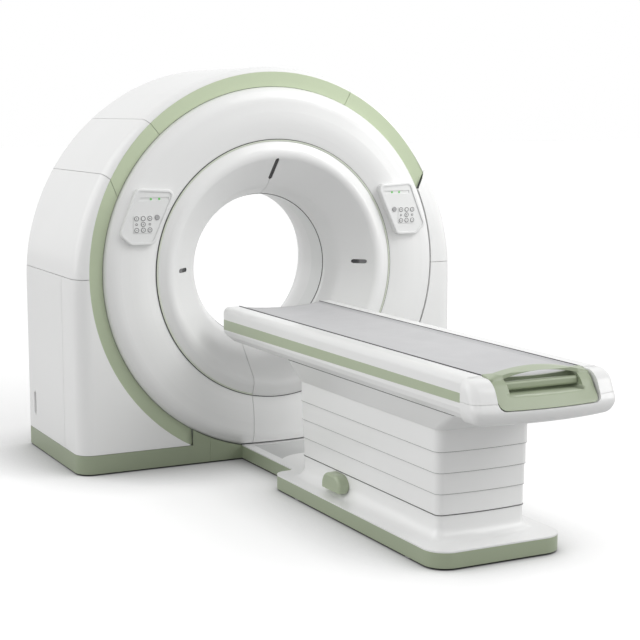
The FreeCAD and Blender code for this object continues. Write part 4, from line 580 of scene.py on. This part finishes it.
def opened_handle(name):
    """The handle as in the frame, with the wall behind its grip cut down to the pad."""
    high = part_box("cradle_handle")[1]
    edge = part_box("cradle_pad")[1].z
    across = [OPENING_HALF * (2.0 * step / OPENING_STEPS - 1.0) for step in range(OPENING_STEPS + 1)]
    outline = [(x, edge - OPENING_DIP * (1.0 - (x / high.x) ** 2)) for x in across]
    outline += [(x, edge + OPENING_RISE * (1.0 - (x / OPENING_HALF) ** 2)) for x in reversed(across)]
    cutter = prism(outline, high.y - HANDLE_WALL - CUT_OVERRUN, high.y + CUT_OVERRUN)
    bmesh.ops.remove_doubles(cutter, verts=cutter.verts, dist=WELD)
    solid = bmesh.new()
    solid.from_mesh(frame["nodes"]["cradle_handle"].data)
    bmesh.ops.remove_doubles(solid, verts=solid.verts, dist=HANDLE_WELD)
    return cut_away(name, finished(solid, "handle_blank"), finished(cutter, "cutter"))


handle = piece("pull_handle", opened_handle("pull_handle"), "sage_green", "cradle", "sage_handle")
handle.data.set_sharp_from_angle(angle=HANDLE_SHARP)
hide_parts("cradle_handle")


# ---- the pad on the cradle ----
PAD_COLUMNS, PAD_ROWS = 96, 220
PAD_THICK, PAD_SIDE_GAP = 0.008, 0.0005
PAD_EDGE_R, PAD_HEM = 0.005, 0.0028
PIPING, PIPING_IN, PIPING_WIDTH = 0.0062, 0.0035, 0.0035
WELD_SEAM, WELD_SEAM_IN, WELD_SEAM_WIDTH = 0.0018, 0.020, 0.0035
CROWN, CROWN_REACH = 0.0012, 0.05
RIPPLE = 0.0003
RIPPLES_ALONG, RIPPLES_ACROSS, RIPPLE_SWAY = 7.0, 9.0, 3.0


def bell(distance, width):
    """1 at no distance, falling smoothly to nothing a few widths away."""
    return math.exp(-((distance / width) ** 2))


def relief(x, y, inward):
    """How far the pad's upper face stands above a plain mat, at a place inward from its nearest edge."""
    piping = PIPING * bell(inward - PIPING_IN, PIPING_WIDTH)
    seam = WELD_SEAM * bell(inward - WELD_SEAM_IN, WELD_SEAM_WIDTH)
    crown = CROWN * min(1.0, max(0.0, inward - WELD_SEAM_IN) / CROWN_REACH)
    ripple = RIPPLE * math.sin(RIPPLES_ALONG * y + RIPPLE_SWAY * math.sin(RIPPLES_ACROSS * x))
    return crown + piping - seam + ripple * min(1.0, inward / CROWN_REACH)


def pad_mesh(name):
    """A thin mat that follows the dished cradle: piped and welded border, softly crowned middle."""
    low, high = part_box("cradle_pad")
    half = high.x - PAD_SIDE_GAP
    dip = high.z - low.z - PAD_THICK
    shares = [2.0 * column / PAD_COLUMNS - 1.0 for column in range(PAD_COLUMNS + 1)]
    across = [half * math.sin(share * math.pi / 2) for share in shares]
    mesh = bmesh.new()
    loops = []
    for row in range(PAD_ROWS + 1):
        y = low.y + PAD_END_GAP + (high.y - low.y - 2 * PAD_END_GAP) * row / PAD_ROWS
        end = min(y - low.y, high.y - y)
        upper, lower = [], []
        for x in across:
            inward = min(half - abs(x), end)
            roll = math.sqrt(max(0.0, 1.0 - (1.0 - min(inward / PAD_EDGE_R, 1.0)) ** 2))
            middle = high.z - PAD_THICK / 2 - dip * (1.0 - (x / half) ** 2)
            rise = (PAD_THICK - PAD_HEM) / 2 * roll
            upper.append((x, y, middle + rise + relief(x, y, inward) * roll))
            lower.append((x, y, middle - rise))
        loops.append([mesh.verts.new(point) for point in upper + lower[::-1]])
    join_rows(mesh, loops, round_points=True)
    for loop in (loops[0], loops[-1]):
        join_rows(mesh, [loop[:PAD_COLUMNS + 1], loop[PAD_COLUMNS + 1:][::-1]])
    bmesh.ops.remove_doubles(mesh, verts=mesh.verts, dist=WELD)
    return finished(mesh, name)


pad = piece("pad_mat", pad_mesh("pad_mat"), "pad_grey", "cradle")
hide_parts("cradle_pad")


# ---- studio: places along y are measured from the gantry's front ----
PURE_WHITE = (1.0, 1.0, 1.0)
AMBIENT, BACKDROP = 0.533, 1.0
FLOOR_REACH = 60.0
FLOOR_SEEN, FLOOR_LIT = (0.85, 0.85, 0.85), (0.50, 0.50, 0.50)
FLOOR_GLOW, FLOOR_PAINTED_SHADOW_REACH = 0.26, 0.45
SENSOR = 36.0
FOCAL_PIXELS, PHOTO_PIXELS = 1489.28, 640.0
CAMERA_X, CAMERA_Y, CAMERA_Z = -3.0214, -6.3717, 1.6573
CAMERA_TILT, CAMERA_TURN = math.radians(90.0 - 8.0426), math.radians(-27.0531)


def shine_along(lamp, direction):
    lamp.rotation_euler = direction.to_track_quat("-Z", "Y").to_euler()


def sun(name, direction, strength, degrees):
    data = bpy.data.lights.new(name, "SUN")
    data.energy = strength
    data.angle = math.radians(degrees)
    shine_along(shown(name, data), Vector(direction))


def soft_box(name, place, target, size, watts):
    """A round soft box at a place, which shines at the target."""
    data = bpy.data.lights.new(name, "AREA")
    data.shape = "DISK"
    data.size = size
    data.energy = watts
    lamp = shown(name, data)
    lamp.location = (place[0], FRONT + place[1], place[2])
    shine_along(lamp, Vector(target) - Vector(place))


def surroundings():
    """Even light from all round, which camera, glossy and transmission rays see as plain white."""
    world = bpy.data.worlds.new("studio")
    bpy.context.scene.world = world
    graph = Graph(world)
    graph.tree.nodes.clear()
    path = graph.node("LightPath").outputs
    through = graph.calculate("MAXIMUM", path["Is Glossy Ray"], path["Is Transmission Ray"])
    mix = graph.node("MixShader")
    graph.feed(mix.inputs[0], graph.calculate("MAXIMUM", path["Is Camera Ray"], through))
    for socket, strength in ((mix.inputs[1], AMBIENT), (mix.inputs[2], BACKDROP)):
        light = graph.node("Background")
        graph.feed(light.inputs["Color"], rgba(PURE_WHITE))
        graph.feed(light.inputs["Strength"], strength)
        graph.feed(socket, light.outputs[0])
    graph.feed(graph.node("OutputWorld").inputs[0], mix.outputs[0])


def floor_finish():
    """Pale floor that shows pure white where light reaches it, with a painted shadow that darkens it softly
    close to the object.
    """
    material = bpy.data.materials.new("studio_floor")
    graph = Graph(material)
    graph.tree.nodes.clear()
    path = graph.node("LightPath").outputs
    # painted shadow: ambient occlusion darkens the floor's colour and glow close to the object
    painted_shadow = graph.node("AmbientOcclusion")
    painted_shadow.inputs["Distance"].default_value = FLOOR_PAINTED_SHADOW_REACH
    graph.feed(painted_shadow.inputs["Color"], graph.mix(path["Is Camera Ray"], FLOOR_LIT, FLOOR_SEEN))
    diffuse, glow, both = graph.node("BsdfDiffuse"), graph.node("Emission"), graph.node("AddShader")
    graph.feed(diffuse.inputs["Color"], painted_shadow.outputs["Color"])
    graph.feed(glow.inputs["Color"], painted_shadow.outputs["AO"])
    seen = graph.calculate("MAXIMUM", path["Is Camera Ray"], path["Is Glossy Ray"])
    graph.feed(glow.inputs["Strength"], graph.calculate("MULTIPLY", seen, FLOOR_GLOW))
    graph.feed(both.inputs[0], diffuse.outputs[0])
    graph.feed(both.inputs[1], glow.outputs[0])
    graph.feed(graph.node("OutputMaterial").inputs[0], both.outputs[0])
    return material


def studio_floor():
    data = bpy.data.meshes.new("floor")
    signs = [(-1, -1), (1, -1), (1, 1), (-1, 1)]
    data.from_pydata([(FLOOR_REACH * x, FLOOR_REACH * y, 0.0) for x, y in signs], [], [(0, 1, 2, 3)])
    data.materials.append(floor_finish())
    obj = shown("floor", data)


def camera():
    """The photograph's own camera, solved from its perspective."""
    data = bpy.data.cameras.new("camera")
    data.sensor_width = SENSOR
    data.lens = SENSOR * FOCAL_PIXELS / PHOTO_PIXELS
    obj = shown("camera", data)
    obj.location = (CAMERA_X, FRONT + CAMERA_Y, CAMERA_Z)
    obj.rotation_euler = (CAMERA_TILT, 0.0, CAMERA_TURN)
    bpy.context.scene.camera = obj


bpy.context.scene.view_settings.view_transform = "Standard"
surroundings()
sun("key", (-0.6, 0.7, -0.8), strength=0.82, degrees=40.0)
sun("side", (1.0, -0.5, -0.6), strength=1.09, degrees=60.0)
sun("side_fill", (1.0, 0.25, -0.35), strength=0.20, degrees=60.0)
sun("front_fill", (0.3, 1.0, -0.25), strength=0.15, degrees=60.0)
soft_box("ring_top", (1.5, -1.1, 2.7), (0.4, 0.0, 1.3), size=1.0, watts=14.7)
soft_box("ring_right", (3.0, -3.0, 1.6), (0.5, 0.0, 1.0), size=1.5, watts=17.4)
studio_floor()
camera()
